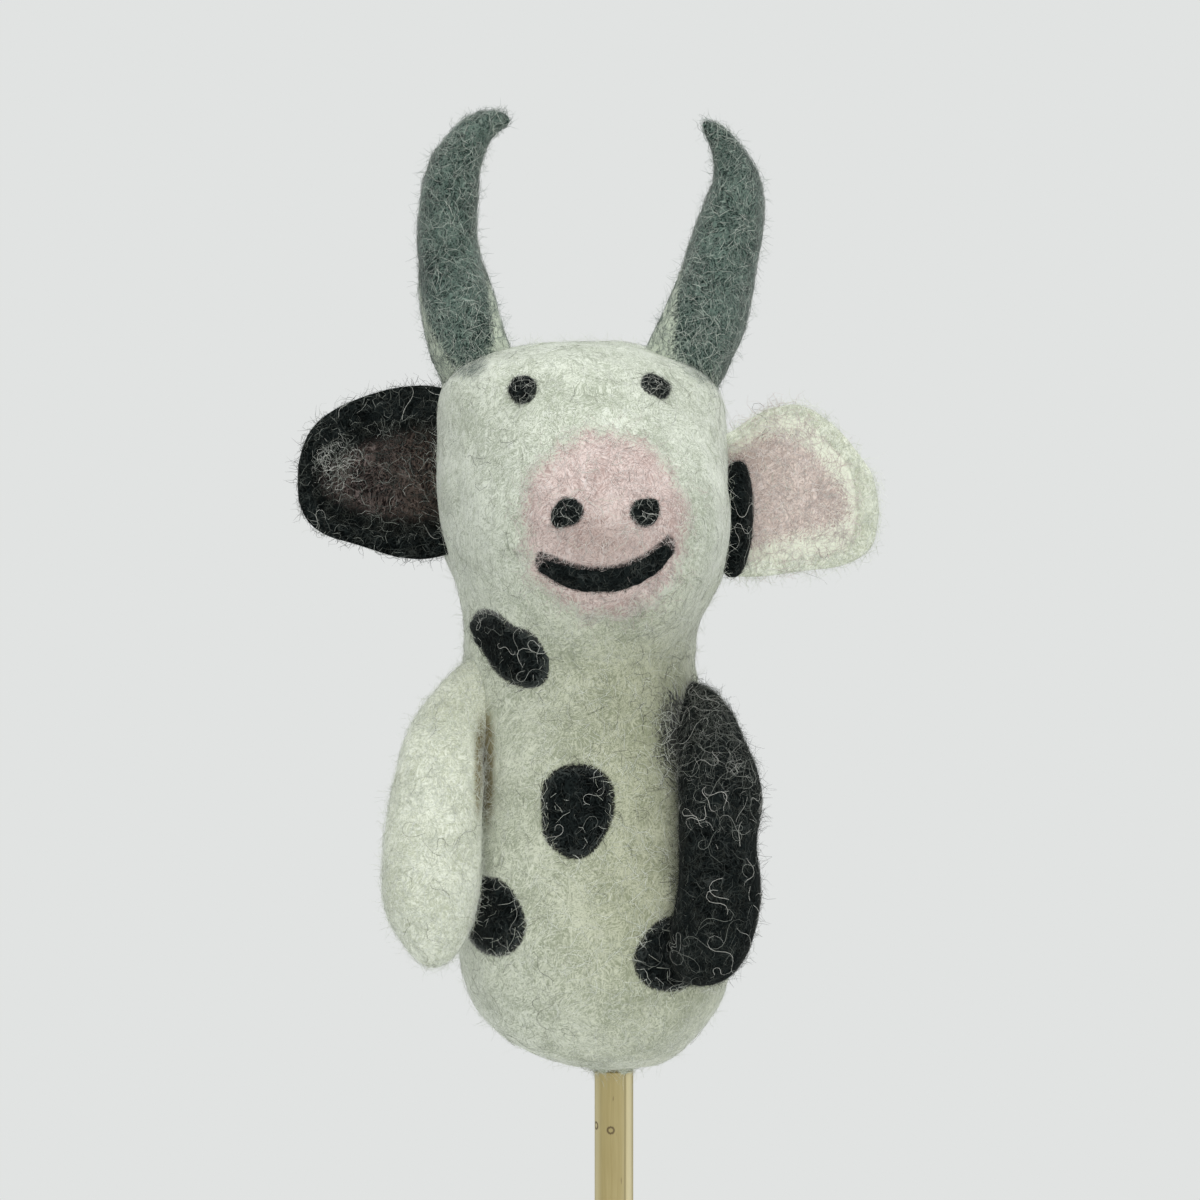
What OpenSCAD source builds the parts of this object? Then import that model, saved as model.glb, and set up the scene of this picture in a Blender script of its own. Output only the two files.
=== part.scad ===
// Needle-felted cow puppet on a bamboo stick.
// Millimetres. +Z up, the face looks along -Y, and the origin is the centre of the
// stick's lower end. Right and left are the puppet's own: its right side is at -X.

/* [Stick] */
// Diameter of the bamboo stick
stick_d = 5; // [4.6:0.1:5.4]
// Length of the stick below the puppet
stick_out = 100; // [70:1:140]
// Depth of the stick in the puppet
stick_in = 44; // [36:1:46]

/* [Torso] */
// Widest radius of the torso
torso_r = 18.4; // [18:0.1:18.8]
// Height of the torso up to the neck
torso_h = 50; // [49:0.5:51]
// Radius of the torso where the neck begins
neck_r = 14.8; // [14.4:0.1:15]

/* [Head] */
// Widest radius of the head
head_r = 18.6; // [18.2:0.1:19]
// Height of the head from jaw to crown
head_h = 35.3; // [34.5:0.1:36]
// Radius of the muzzle
muzzle_r = 14.5; // [14:0.1:14.8]
// How far the muzzle's centre stands in front of the head's axis
muzzle_out = 13.5; // [12.5:0.1:14]

/* [Felt] */
// Thickness of the felt skin
felt_t = 3; // [2.6:0.1:3.4]
// How deep a felted-in patch goes
patch_in = 0.9; // [0.6:0.1:1.2]
// How far a felted-in patch stands proud
patch_out = 0.5; // [0.2:0.1:0.8]
// Thickness of an ear
ear_t = 3; // [2.6:0.1:3.4]

/* [Hidden] */
$fn = 48;

white_wool = "honeydew";
black_wool = "#202326";
grey_wool = "#6c7f78";
pink_wool = "#d8b8b4";
core_wool = "wheat";
bamboo = "#c2b07c";

running = 0.05;     // clearance round the stick's tenon
tenon_step = 0.4;   // how much the tenon is smaller than the stick, all round
gap = 0.3;          // clearance between parts that move
seat = 0.02;        // clearance round a felted-in patch
RIGHT = -1;
LEFT = 1;

z_base = stick_out;              // lowest point of the puppet
z_belly = z_base + 20;           // widest level of the torso
z_torso = z_base + torso_h;      // top of the torso
z_nod = z_torso + 6;             // level of the neck's nodding axis
z_jaw = z_torso + 8;             // underside of the head
z_cheek = z_jaw + 14;            // where the head reaches its full width
z_brow = z_jaw + 18;             // where the crown begins to round
z_crown = z_jaw + head_h;        // top of the head
torso_x = -2.4;                  // the torso sits a little to the puppet's right
neck_x = -4.4;
head_x = -4.1;
muzzle_c = [-1.3, -muzzle_out, z_jaw + 12];

// ---- curves ----

function smooth(t) = t * t * (3 - 2 * t);
// A quarter of a superellipse: 1 at u = 0, falling to 0 at u = 1.
function round_off(u, power) = pow(max(0, 1 - pow(u, power)), 1 / power);

function torso_radius(z) = z < z_belly
    ? torso_r * round_off((z_belly - z) / (z_belly - z_base), 2.3)
    : torso_r + (neck_r - torso_r) * smooth((z - z_belly) / (z_torso - z_belly));

function head_radius(z) = z < z_cheek
    ? neck_r + 0.2 + (head_r - neck_r - 0.2) * sin(90 * (z - z_jaw) / (z_cheek - z_jaw))
    : z < z_brow ? head_r
    : head_r * round_off((z - z_brow) / (z_crown - z_brow), 3);

// Levels that are close together where a profile turns to meet its axis.
function levels_up(low, high, n) = [for (i = [0:n]) low + (high - low) * (1 - cos(90 * i / n))];
function levels_down(low, high, n) = [for (i = [0:n]) low + (high - low) * sin(90 * i / n)];

torso_levels = concat(
    levels_up(z_base, z_belly, 8),
    [for (i = [1:5]) z_belly + (z_torso - z_belly) * i / 5]);
head_levels = concat(
    [for (i = [0:3]) z_jaw + (z_cheek - z_jaw) * i / 3],
    levels_down(z_brow, z_crown, 8));

// A limb's outline: two different half widths along one axis of bend.
function blob(rx, rz, wobble, lobes, phase) = [
    for (a = [0:15:345])
        let (r = 1 + wobble * sin(lobes * a + phase)) [rx * r * cos(a), rz * r * sin(a)]];

// ---- solids that the parts share ----

// The torso's outer form, grown by a little or, with a minus, shrunk.
module torso_form(grow = 0) {
    translate([torso_x, 0, 0])
        rotate_extrude()
            polygon(concat(
                [[0, z_base - grow]],
                [for (z = torso_levels) if (torso_radius(z) > 0.1) [torso_radius(z) + grow, z]],
                [[neck_r + grow, z_torso], [0, z_torso]]));
}

// The skull's form about the head's own axis.
module skull_form(grow = 0) {
    translate([head_x, 0, 0])
        rotate_extrude()
            polygon(concat(
                [[0, z_jaw]],
                [for (z = head_levels) if (head_radius(z) > 0.1) [head_radius(z) + grow, z]],
                [[0, z_crown + grow]]));
}

module muzzle_form(grow = 0) {
    translate(muzzle_c) sphere(r = muzzle_r + grow, $fn = 64);
}

// A prism that runs from the axis at (x, 0) outwards, at an angle from the front.
module aim(x, z, angle, from = 6, to = 40) {
    translate([x, 0, z])
        rotate([0, 0, angle])
            translate([0, -from, 0])
                rotate([90, 0, 0])
                    linear_extrude(to - from) children();
}

// A smooth curve through a few knots. Each knot is a place and the limb's half width there.
function between(a, b, c, d, f) =
    b + (c - a) * f / 2 + (a - 2.5 * b + 2 * c - d / 2) * f * f
    + (1.5 * (b - c) + (d - a) / 2) * f * f * f;
function along(knots, t) = let (
    n = len(knots) - 1, s = min(t * n, n - 0.0001), i = floor(s)
) between(knots[max(0, i - 1)], knots[i], knots[i + 1], knots[min(n, i + 2)], s - i);

// Levels crowd towards the tip, where the width falls to nothing after the blunt point.
function limb_rings(knots, blunt, n) = [
    for (k = [0:n]) let (t = sin(90 * k / n), q = along(knots, t))
        [q[0], q[1], q[2], 0.3 + q[3] * round_off(max(0, (t - blunt) / (1 - blunt)), 2.2)]];

// A closed limb along its knots. Its width is across the curve in the XZ plane, its depth along Y.
module limb(knots, blunt, depth, sides = 16, n = 13) {
    rings = limb_rings(knots, blunt, n);
    function place(i) = [rings[i][0], rings[i][1], rings[i][2]];
    function heading(i) =
        let (d = place(min(n, i + 1)) - place(max(0, i - 1)), f = [d[0], 0, d[2]]) f / norm(f);
    points = concat(
        [place(0)],
        [for (i = [0:n]) let (h = heading(i), w = rings[i][3]) for (k = [0:sides - 1])
            let (a = 360 * k / sides)
                place(i) + w * cos(a) * [h[2], 0, -h[0]] + w * depth * sin(a) * [0, 1, 0]],
        [place(n)]);
    last = len(points) - 1;
    polyhedron(points, concat(
        [for (k = [0:sides - 1]) [1 + k, 1 + (k + 1) % sides, 0]],
        [for (i = [0:n - 1]) for (k = [0:sides - 1])
            let (a = 1 + i * sides + k, b = 1 + i * sides + (k + 1) % sides)
                [a + sides, b + sides, b, a]],
        [for (k = [0:sides - 1]) let (base = 1 + n * sides)
            [base + (k + 1) % sides, base + k, last]]), convexity = 4);
}

// ---- joints' places ----

// Right first, then left. A horn's and an arm's first knot is its joint.
shoulder_r = 4.6;
arm_knots = [
    [[-17, -10.6, 146.4, 4.2], [-21, -12, 141.4, 5.2], [-23.3, -13, 134.5, 6],
     [-24.3, -13.6, 126.5, 6.1], [-24.4, -13.8, 119, 5.9], [-24.2, -13.6, 112.6, 5.4]],
    [[10.5, -12, 146, 4.1], [14, -15, 140.8, 4.6], [14.4, -16.5, 134, 5.1],
     [13.7, -17.6, 126, 5], [12.9, -18, 118.4, 4.9], [10.8, -17.4, 110.4, 4.5]]];
horn_root_r = 5;
horn_knots = [
    [[-17.4, 1, 190.6, 4.6], [-20.2, 0.6, 198.6, 4.9], [-21.7, 0, 207.4, 4.1],
     [-21.2, -0.6, 215.4, 3.5], [-18.6, -1, 221.4, 3.1], [-14, -1.2, 223.6, 2.2]],
    [[8, 1, 190, 4.6], [11.2, 0.6, 197.4, 5.2], [13.9, 0, 205.4, 4.7],
     [15.8, -0.6, 212.6, 4], [15.2, -1, 218.6, 2.7], [11.9, -1.2, 222, 1.7]]];
ear_root = [[head_x - head_r - 1.9, -2, z_jaw + 20], [head_x + head_r + 1.9, -2, z_jaw + 17.4]];
function joint_of(knots) = [knots[0][0], knots[0][1], knots[0][2]];
neck_ball_r = 12;

// ---- stick ----

tenon_r = stick_d / 2 - tenon_step;
point = 5;

// The full round ends in a small step that the puppet rests on; the tenon above it is in the wool.
module stick() {
    color(bamboo) union() {
        cylinder(d = stick_d, h = stick_out - 4);
        cylinder(r = tenon_r, h = stick_out + stick_in - point);
        translate([0, 0, stick_out + stick_in - point]) cylinder(r1 = tenon_r, r2 = 0.8, h = point);
    }
}

// The collar of loose wool where the stick leaves the belly.
module stick_tuft() {
    bore = tenon_r + running;
    color(white_wool)
        rotate_extrude()
            polygon([[bore, z_base - 3.6], [bore + 0.7, z_base - 3.6], [bore + 1.6, z_base - 1.8],
                     [bore + 2.2, z_base - gap], [bore, z_base - gap]]);
}

module stick_socket() {
    translate([0, 0, z_base - 2])
        cylinder(r = tenon_r + running, h = stick_in + 2 + gap);
}

// ---- torso ----

module shoulder_sockets() {
    for (knots = arm_knots) translate(joint_of(knots)) sphere(r = shoulder_r + gap);
}

module torso_skin() {
    color(white_wool) difference() {
        torso_form();
        torso_form_inside();
        stick_socket();
        shoulder_sockets();
        chest_patch(seat);
        hip_right_patch(seat);
        hip_left_patch(seat);
        back_high_patch(seat);
        back_low_patch(seat);
    }
}

module torso_form_inside() {
    translate([torso_x, 0, 0])
        rotate_extrude()
            polygon(concat(
                [[0, z_base + felt_t]],
                [for (z = torso_levels) if (z > z_base + felt_t + 0.5 && z < z_torso - felt_t)
                    [torso_radius(z) - felt_t, z]],
                [[neck_r - felt_t, z_torso - felt_t], [0, z_torso - felt_t]]));
}

module torso_core() {
    color(core_wool) difference() {
        torso_form_inside();
        stick_socket();
        shoulder_sockets();
    }
}

// A patch of dark wool in the torso's skin. The margin is the room its seat leaves.
module torso_patch(z, angle, outline, margin) {
    intersection() {
        difference() {
            torso_form(patch_out + margin);
            torso_form(-patch_in - margin);
        }
        aim(torso_x, z, angle) offset(delta = margin) polygon(outline);
    }
}

module chest_patch(margin = 0)
    torso_patch(z_base + 32.6, 4, blob(4.9, 6.2, 0.06, 5, 40), margin);

module hip_right_patch(margin = 0)
    torso_patch(z_base + 20, -43, blob(5.6, 5.6, 0.05, 4, 20), margin);

module hip_left_patch(margin = 0)
    torso_patch(z_base + 14.4, 38, blob(5.6, 4.9, 0.05, 3, 70), margin);

module back_high_patch(margin = 0)
    torso_patch(z_base + 38, 152, blob(6.6, 5.4, 0.08, 5, 10), margin);

module back_low_patch(margin = 0)
    torso_patch(z_base + 18, 205, blob(7.2, 8.2, 0.07, 4, 50), margin);

module spot_chest() color(black_wool) chest_patch();
module spot_hip_right() color(black_wool) hip_right_patch();
module spot_hip_left() color(black_wool) hip_left_patch();
module spot_back_high() color(black_wool) back_high_patch();
module spot_back_low() color(black_wool) back_low_patch();

// ---- neck ----

neck_foot_r = 13.2;
neck_foot_h = 2.4;

// The wool wrap between the torso and the head, with a round top that the head nods on.
module neck_core() {
    color(core_wool) difference() {
        union() {
            translate([neck_x, 0, z_torso + gap]) cylinder(r = neck_foot_r, h = neck_foot_h);
            intersection() {
                translate([neck_x, 0, z_nod]) sphere(r = neck_ball_r, $fn = 64);
                translate([neck_x, 0, z_torso + gap]) cylinder(r = neck_foot_r, h = 40);
            }
        }
        neck_patch(seat);
    }
}

module neck_patch(margin = 0) {
    intersection() {
        translate([neck_x, 0, z_torso + gap + 0.3 - margin])
            difference() {
                cylinder(r = neck_foot_r + 0.4 + margin, h = neck_foot_h - 0.6 + 2 * margin);
                cylinder(r = neck_foot_r - patch_in - margin, h = 10);
            }
        aim(neck_x, z_torso + 1.5, -40) square([8 + 2 * margin, 12], center = true);
    }
}

module spot_neck() color(black_wool) neck_patch();

// ---- head ----

module neck_hollow() {
    translate([neck_x, 0, z_nod]) sphere(r = neck_ball_r + gap, $fn = 64);
}

module horn_sockets() {
    for (knots = horn_knots) translate(joint_of(knots)) sphere(r = horn_root_r + gap);
}

module skull_inside() {
    translate([head_x, 0, 0])
        rotate_extrude()
            polygon(concat(
                [[0, z_jaw + felt_t], [head_radius(z_jaw) - felt_t, z_jaw + felt_t]],
                [for (z = head_levels) if (z > z_jaw + felt_t + 0.5 && z < z_crown - felt_t - 0.5)
                    [head_radius(z) - felt_t, z]],
                [[0, z_crown - felt_t]]));
}

module head_skin() {
    color(white_wool) difference() {
        union() {
            skull_form();
            muzzle_form();
        }
        skull_inside();
        neck_hollow();
        horn_sockets();
        snout_layer(seat);
        nostrils(seat);
        mouth_line(seat);
        eyes(seat);
        cheek_patch(seat);
        nape_patch(seat);
    }
}

module head_core() {
    color(core_wool) difference() {
        skull_inside();
        neck_hollow();
        horn_sockets();
    }
}

// A layer on the muzzle's ball, inside an outline seen from the front.
module muzzle_layer(out, into, x, z) {
    intersection() {
        difference() {
            muzzle_form(out);
            muzzle_form(-into);
        }
        translate([x, muzzle_c[1], z])
            rotate([90, 0, 0])
                linear_extrude(40) children();
    }
}

module snout_layer(margin = 0)
    muzzle_layer(0.4 + margin, patch_in + margin, -1.2, z_jaw + 11.8)
        circle(r = snout_r + margin);

snout_r = 11.6;
nostril_r = 1.8;
nostril_x = [-6, 4];

module nostril(i, margin = 0)
    muzzle_layer(0.9 + margin, 1.2 + margin, nostril_x[i], z_jaw + 13.9)
        circle(r = nostril_r + margin, $fn = 32);

module nostrils(margin = 0) {
    nostril(0, margin);
    nostril(1, margin);
}

// The smile: a length of a ring, thick in the middle, laid over the muzzle.
mouth_r = 10.6;
mouth_half = 1.25;
mouth_spread = 47;

module mouth_line(margin = 0) {
    muzzle_layer(0.9 + margin, 1.2 + margin, -1.2, z_jaw + 15.2) {
        intersection() {
            difference() {
                circle(r = mouth_r + mouth_half + margin);
                circle(r = mouth_r - mouth_half - margin);
            }
            polygon([[0, 0],
                     for (a = [-mouth_spread:mouth_spread:mouth_spread])
                         20 * [sin(a), -cos(a)]]);
        }
    }
}

module snout_patch() {
    color(pink_wool) difference() {
        snout_layer();
        nostrils(seat);
        mouth_line(seat);
    }
}

module nostril_right() color(black_wool) nostril(0);
module nostril_left() color(black_wool) nostril(1);
module mouth() color(black_wool) mouth_line();

eye_r = 1.8;
eye_z = z_crown - 5.6;
// A place on the skull's front at a distance x from the head's axis.
function on_skull(x, z) =
    let (r = head_radius(z) - 0.5) [head_x + x, -sqrt(r * r - x * x), z];
eye_at = [on_skull(-7.7, eye_z), on_skull(9.6, eye_z + 0.4)];

module eye(i, margin = 0) translate(eye_at[i]) sphere(r = eye_r + margin);

module eyes(margin = 0) {
    eye(0, margin);
    eye(1, margin);
}

module eye_right() color(black_wool) eye(0);
module eye_left() color(black_wool) eye(1);

module skull_patch(z, angle, outline, margin) {
    intersection() {
        difference() {
            skull_form(patch_out + margin);
            skull_form(-patch_in - margin);
        }
        aim(head_x, z, angle) offset(delta = margin) polygon(outline);
    }
}

module cheek_patch(margin = 0)
    skull_patch(z_jaw + 14, 66, blob(3.6, 6.6, 0.04, 3, 20), margin);

module nape_patch(margin = 0)
    skull_patch(z_jaw + 20, 168, blob(8.2, 7, 0.07, 5, 25), margin);

module spot_cheek() color(black_wool) cheek_patch();
module spot_nape() color(black_wool) nape_patch();

// ---- ears ----

// Half of an ear's outline runs from its root round to its tip: long, blunt and a little drooping.
function ear_outline(long, high, droop) = [
    for (a = [-90:15:90]) [long * pow(max(0, cos(a)), 0.72), high * sin(a) * (1 + 0.06 * cos(a))
                           - droop * cos(a)]];

module ear_plate(side, long, high, droop, back, front) {
    rotate([90, 0, 0])
        translate([0, 0, -back])
            linear_extrude(back + front)
                polygon([for (p = ear_outline(long, high, droop)) [side * p[0], p[1]]]);
}

// The plate grows from a round root on the ear's own folding line.
module ear(i, side, long, high, droop) {
    translate(ear_root[i]) union() {
        cylinder(d = ear_t, h = 2 * high - 3, center = true);
        ear_plate(side, long, high, droop, ear_t / 2, ear_t / 2);
    }
}

module ear_lining(i, side, long, high, droop) {
    translate(ear_root[i] + [side * 1.6, 0, 0])
        translate([0, -ear_t / 2, 0])
            ear_plate(side, long - 4.4, high - 2.4, droop, 0, 0.7);
}

module ear_right() color(black_wool) ear(0, RIGHT, 17.2, 10, 0.6);
module ear_left() color(white_wool) ear(1, LEFT, 19, 11, 1.4);
module ear_right_lining() color(pink_wool) ear_lining(0, RIGHT, 17.2, 10, 0.6);
module ear_left_lining() color(pink_wool) ear_lining(1, LEFT, 19, 11, 1.4);

// ---- horns and arms ----

module horn(i, blunt) {
    color(grey_wool) union() {
        translate(joint_of(horn_knots[i])) sphere(r = horn_root_r);
        limb(horn_knots[i], blunt, 0.94);
    }
}

module arm(i) {
    translate(joint_of(arm_knots[i])) sphere(r = shoulder_r);
    limb(arm_knots[i], 0.66, 0.8);
}

module horn_right() horn(0, 0.8);
module horn_left() horn(1, 0.82);
module arm_right() color(white_wool) union() arm(0);
module arm_left() color(black_wool) union() arm(1);

// ---- output ----

stick();
stick_tuft();
torso_skin();
torso_core();
spot_chest();
spot_hip_right();
spot_hip_left();
spot_back_high();
spot_back_low();
neck_core();
spot_neck();
head_skin();
head_core();
snout_patch();
nostril_right();
nostril_left();
mouth();
eye_right();
eye_left();
spot_cheek();
spot_nape();
ear_right();
ear_right_lining();
ear_left();
ear_left_lining();
horn_right();
horn_left();
arm_right();
arm_left();
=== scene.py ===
"""Looks of a needle-felted cow puppet on a bamboo stick.

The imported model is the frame. Each felted piece is a surface on a grid of two parameters, roughened
with lumpy noise, and wears a coat of curly wool fibres that are real tubes. Sizes are in
millimetres until a mesh is made. The face looks along -Y, and right and left are the puppet's own.
"""

from __future__ import annotations

import functools
import itertools
import logging
import math
from dataclasses import dataclass, field, replace
from enum import Enum
from typing import Any, Callable

import bpy
import numpy as np
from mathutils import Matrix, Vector

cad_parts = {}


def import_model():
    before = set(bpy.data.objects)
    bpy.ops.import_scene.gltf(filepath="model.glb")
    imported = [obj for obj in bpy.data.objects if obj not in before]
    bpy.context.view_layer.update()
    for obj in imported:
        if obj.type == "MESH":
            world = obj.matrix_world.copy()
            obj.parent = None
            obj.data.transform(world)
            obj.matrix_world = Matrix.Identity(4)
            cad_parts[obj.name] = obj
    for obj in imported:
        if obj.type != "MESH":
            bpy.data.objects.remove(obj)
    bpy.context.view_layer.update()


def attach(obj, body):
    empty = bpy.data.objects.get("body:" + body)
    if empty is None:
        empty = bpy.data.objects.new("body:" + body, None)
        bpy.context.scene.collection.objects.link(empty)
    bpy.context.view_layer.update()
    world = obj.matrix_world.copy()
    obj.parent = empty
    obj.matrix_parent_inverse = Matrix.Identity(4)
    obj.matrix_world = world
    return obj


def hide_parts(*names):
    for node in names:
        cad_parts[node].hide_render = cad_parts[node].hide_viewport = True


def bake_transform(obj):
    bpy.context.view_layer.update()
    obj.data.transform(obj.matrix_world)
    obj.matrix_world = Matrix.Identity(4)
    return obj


log = logging.getLogger("cow")

MM = 0.001
FRONT = np.array([0.0, -1.0, 0.0])
Colour = tuple[float, float, float]
Place = tuple[float, float, float]
Mask = Callable[[np.ndarray], np.ndarray]


class Body(Enum):
    """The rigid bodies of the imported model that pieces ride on."""

    STICK = "stick"
    TUFT = "tuft"
    TORSO = "torso"
    NECK = "neck"
    HEAD = "head"
    EAR_RIGHT = "ear_right"
    EAR_LEFT = "ear_left"
    HORN_RIGHT = "horn_right"
    HORN_LEFT = "horn_left"
    ARM_RIGHT = "arm_right"
    ARM_LEFT = "arm_left"

    def carry(self, obj: bpy.types.Object) -> None:
        """Makes a piece ride rigidly on this body."""
        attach(obj, self.value)


# ---------------------------------------------------------------- numbers and curves


def smoothstep(low: float, high: float, x: np.ndarray) -> np.ndarray:
    """A smooth rise from 0 at low to 1 at high: 3t^2 - 2t^3 of the share of the way."""
    t = np.clip((x - low) / (high - low), 0.0, 1.0)
    return t * t * (3 - 2 * t)


def unit(v: np.ndarray) -> np.ndarray:
    """Vectors divided by their own lengths."""
    return v / np.maximum(np.linalg.norm(v, axis=-1, keepdims=True), 1e-12)


def ring(count: int) -> np.ndarray:
    """Angles in radians of equally spaced places round a ring."""
    return np.linspace(0, 2 * math.pi, count, endpoint=False)


def wrapped(angle: np.ndarray) -> np.ndarray:
    """Angles brought back to between minus half a turn and half a turn."""
    return np.angle(np.exp(1j * angle))


def blot(
    x: np.ndarray, z: np.ndarray, middle: tuple[float, float], reach: tuple[float, float],
    power: int = 2,
) -> np.ndarray:
    """A soft blot: 1 at its middle, then exp(-(dx/reach)^2 - (dz/reach)^power)."""
    dx, dz = (x - middle[0]) / reach[0], (z - middle[1]) / reach[1]
    return np.exp(-(dx**2) - dz**power)


def by_height(low: float, high: float) -> Mask:
    """A mask that rises from 0 at height low to 1 at height high."""
    return lambda p: smoothstep(low, high, p[:, 2])


def round_off(u: np.ndarray, power: float) -> np.ndarray:
    """A quarter of a superellipse: (1 - u^power)^(1/power), 1 at u = 0 and 0 at u = 1."""
    return np.maximum(0.0, 1 - np.clip(u, 0, 1) ** power) ** (1 / power)


def catmull_rom(
    a: np.ndarray, b: np.ndarray, c: np.ndarray, d: np.ndarray, f: np.ndarray
) -> np.ndarray:
    """The share f of the way from b to c, smooth with the neighbours a and d."""
    return b + 0.5 * f * (c - a + f * (2 * a - 5 * b + 4 * c - d + f * (3 * (b - c) + d - a)))


@dataclass(frozen=True)
class Spline:
    """A smooth Catmull-Rom curve through knots, each of them a row of numbers."""

    knots: tuple[tuple[float, ...], ...]

    def at(self, t: np.ndarray) -> np.ndarray:
        """Points on the curve.

        Args:
            t: Places along the curve, 0 at the first knot and 1 at the last.

        Returns:
            One row of numbers for each t.
        """
        k = np.array(self.knots, float)
        k = np.vstack([2 * k[0] - k[1], k, 2 * k[-1] - k[-2]])
        s = np.clip(t, 0, 1) * (len(self.knots) - 1)
        i = np.minimum(s.astype(int), len(self.knots) - 2)
        return catmull_rom(k[i], k[i + 1], k[i + 2], k[i + 3], (s - i)[..., None])


@dataclass(frozen=True)
class Outline:
    """A closed outline as radii at equal angles from its centre, joined smoothly."""

    radii: tuple[float, ...]

    def at(self, angle: np.ndarray) -> np.ndarray:
        """Radii at angles in radians: a Catmull-Rom curve that meets itself."""
        r, n = np.array(self.radii), len(self.radii)
        s = (angle / (2 * math.pi) * n) % n
        i = s.astype(int) % n
        return catmull_rom(r[i - 1], r[i], r[(i + 1) % n], r[(i + 2) % n], s - np.floor(s))


@dataclass(frozen=True)
class WoolNoise:
    """Repeatable lumps: random values at the corners of cubes, eased smoothly between them."""

    seed: int = 7

    def at(self, points: np.ndarray, size: float) -> np.ndarray:
        """Values from -1 to 1 that change over a distance of size.

        Args:
            points: Places in millimetres.
            size: The width of a lump.

        Returns:
            One value for each point.
        """
        cell = np.floor(points / size)
        inside = points / size - cell
        ease = inside * inside * (3 - 2 * inside)
        whole = cell.astype(np.int64)
        total = np.zeros(points.shape[:-1])
        for corner in itertools.product((0, 1), repeat=3):
            step = np.array(corner)
            share = np.prod(np.where(step == 1, ease, 1 - ease), axis=-1)
            total += share * self._scatter(whole + step)
        return total

    def _scatter(self, cell: np.ndarray) -> np.ndarray:
        """A fixed random value from -1 to 1 for each cube corner, by mixing its numbers."""
        mixed = cell @ np.array([73856093, 19349663, 83492791]) + self.seed * 961748927
        mixed = ((mixed ^ (mixed >> 13)) & 0x7FFFFFFF) * 1274126177 & 0x7FFFFFFF
        mixed = (mixed ^ (mixed >> 15)) * 668265263 & 0x7FFFFFFF
        return mixed / 0x3FFFFFFF - 1.0

    def felt(self, points: np.ndarray, amount: float = 1.0) -> np.ndarray:
        """How far felted wool stands out: broad lumps, dimples of the needle, and matting."""
        return amount * (
            0.42 * self.at(points, 6.5)
            + 0.13 * self.at(points + 31, 2.9)
            + 0.04 * self.at(points + 67, 1.3)
            + 0.02 * self.at(points + 89, 0.7)
        )


# ---------------------------------------------------------------- surfaces and meshes


@dataclass
class Surface:
    """A closed surface: rows of points that run round, and a pole that closes each end.

    Attributes:
        grid: Rows x columns x 3, in millimetres.
        poles: The two points that close the first and the last row.
        marks: Named values for each grid point, which materials read as attributes.
    """

    grid: np.ndarray
    poles: tuple[np.ndarray, np.ndarray]
    marks: dict[str, np.ndarray] = field(default_factory=dict)

    @classmethod
    def closed(cls, grid: np.ndarray, **marks: np.ndarray) -> Surface:
        """A surface whose poles are the middles of its first and last rows."""
        return cls(grid, (grid[0].mean(0), grid[-1].mean(0)), marks)

    def normals(self) -> np.ndarray:
        """Unit vectors that point outwards: the cross product of the grid's two directions."""
        along = np.gradient(self.grid, axis=0)
        sideways = np.roll(self.grid, -1, 1) - np.roll(self.grid, 1, 1)
        n = unit(np.cross(sideways, along))
        outwards = np.sum(n * (self.grid - self.grid.mean(axis=(0, 1))))
        return n if outwards > 0 else -n

    def scatter(
        self, count: int, dice: np.random.Generator, mask: Mask | None
    ) -> tuple[np.ndarray, np.ndarray]:
        """Random places on the surface, as many on each bit of area.

        Args:
            count: How many places are tried.
            dice: The source of randomness.
            mask: Gives the share of places that is kept at each point, or None for all.

        Returns:
            The points and their outward normals.
        """
        g, n = self.grid, self.normals()
        rows, cols = g.shape[:2]
        a = g[:-1]
        down, side = g[1:] - a, np.roll(a, -1, 1) - a
        area = np.linalg.norm(np.cross(down, side), axis=-1).ravel()
        pick = dice.choice(area.size, count, p=area / area.sum())
        i, j = pick // cols, pick % cols
        u, v = dice.random((2, count, 1))
        points = g[i, j] + down[i, j] * u + side[i, j] * v
        normals = n[i, j]
        if mask is not None:
            keep = dice.random(count) < mask(points)
            points, normals = points[keep], normals[keep]
        return points, normals

    def mesh(self, name: str) -> bpy.types.Object:
        """The surface as a mesh object whose faces point outwards."""
        rows, cols = self.grid.shape[:2]
        i, j = np.arange(rows - 1)[:, None], np.arange(cols)[None, :]
        k = (j + 1) % cols
        quads = np.stack(
            [i * cols + j, i * cols + k, (i + 1) * cols + k, (i + 1) * cols + j], axis=-1
        ).reshape(-1, 4)
        here, after = np.arange(cols), (np.arange(cols) + 1) % cols
        first, top = np.full(cols, rows * cols), (rows - 1) * cols
        tris = np.vstack(
            [
                np.stack([first, after, here], -1),
                np.stack([first + 1, top + here, top + after], -1),
            ]
        )
        points = np.vstack([self.grid.reshape(-1, 3), self.poles[0], self.poles[1]])
        corners = points[quads]
        volume = np.sum(
            corners[:, 0] * np.cross(corners[:, 1] - corners[:, 0], corners[:, 2] - corners[:, 0])
        )
        if volume < 0:
            quads, tris = quads[:, ::-1], tris[:, ::-1]
        marks = {
            key: np.append(values.ravel(), [values[0].mean(), values[-1].mean()])
            for key, values in self.marks.items()
        }
        return mesh_object(name, points, quads, tris, marks)


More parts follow.
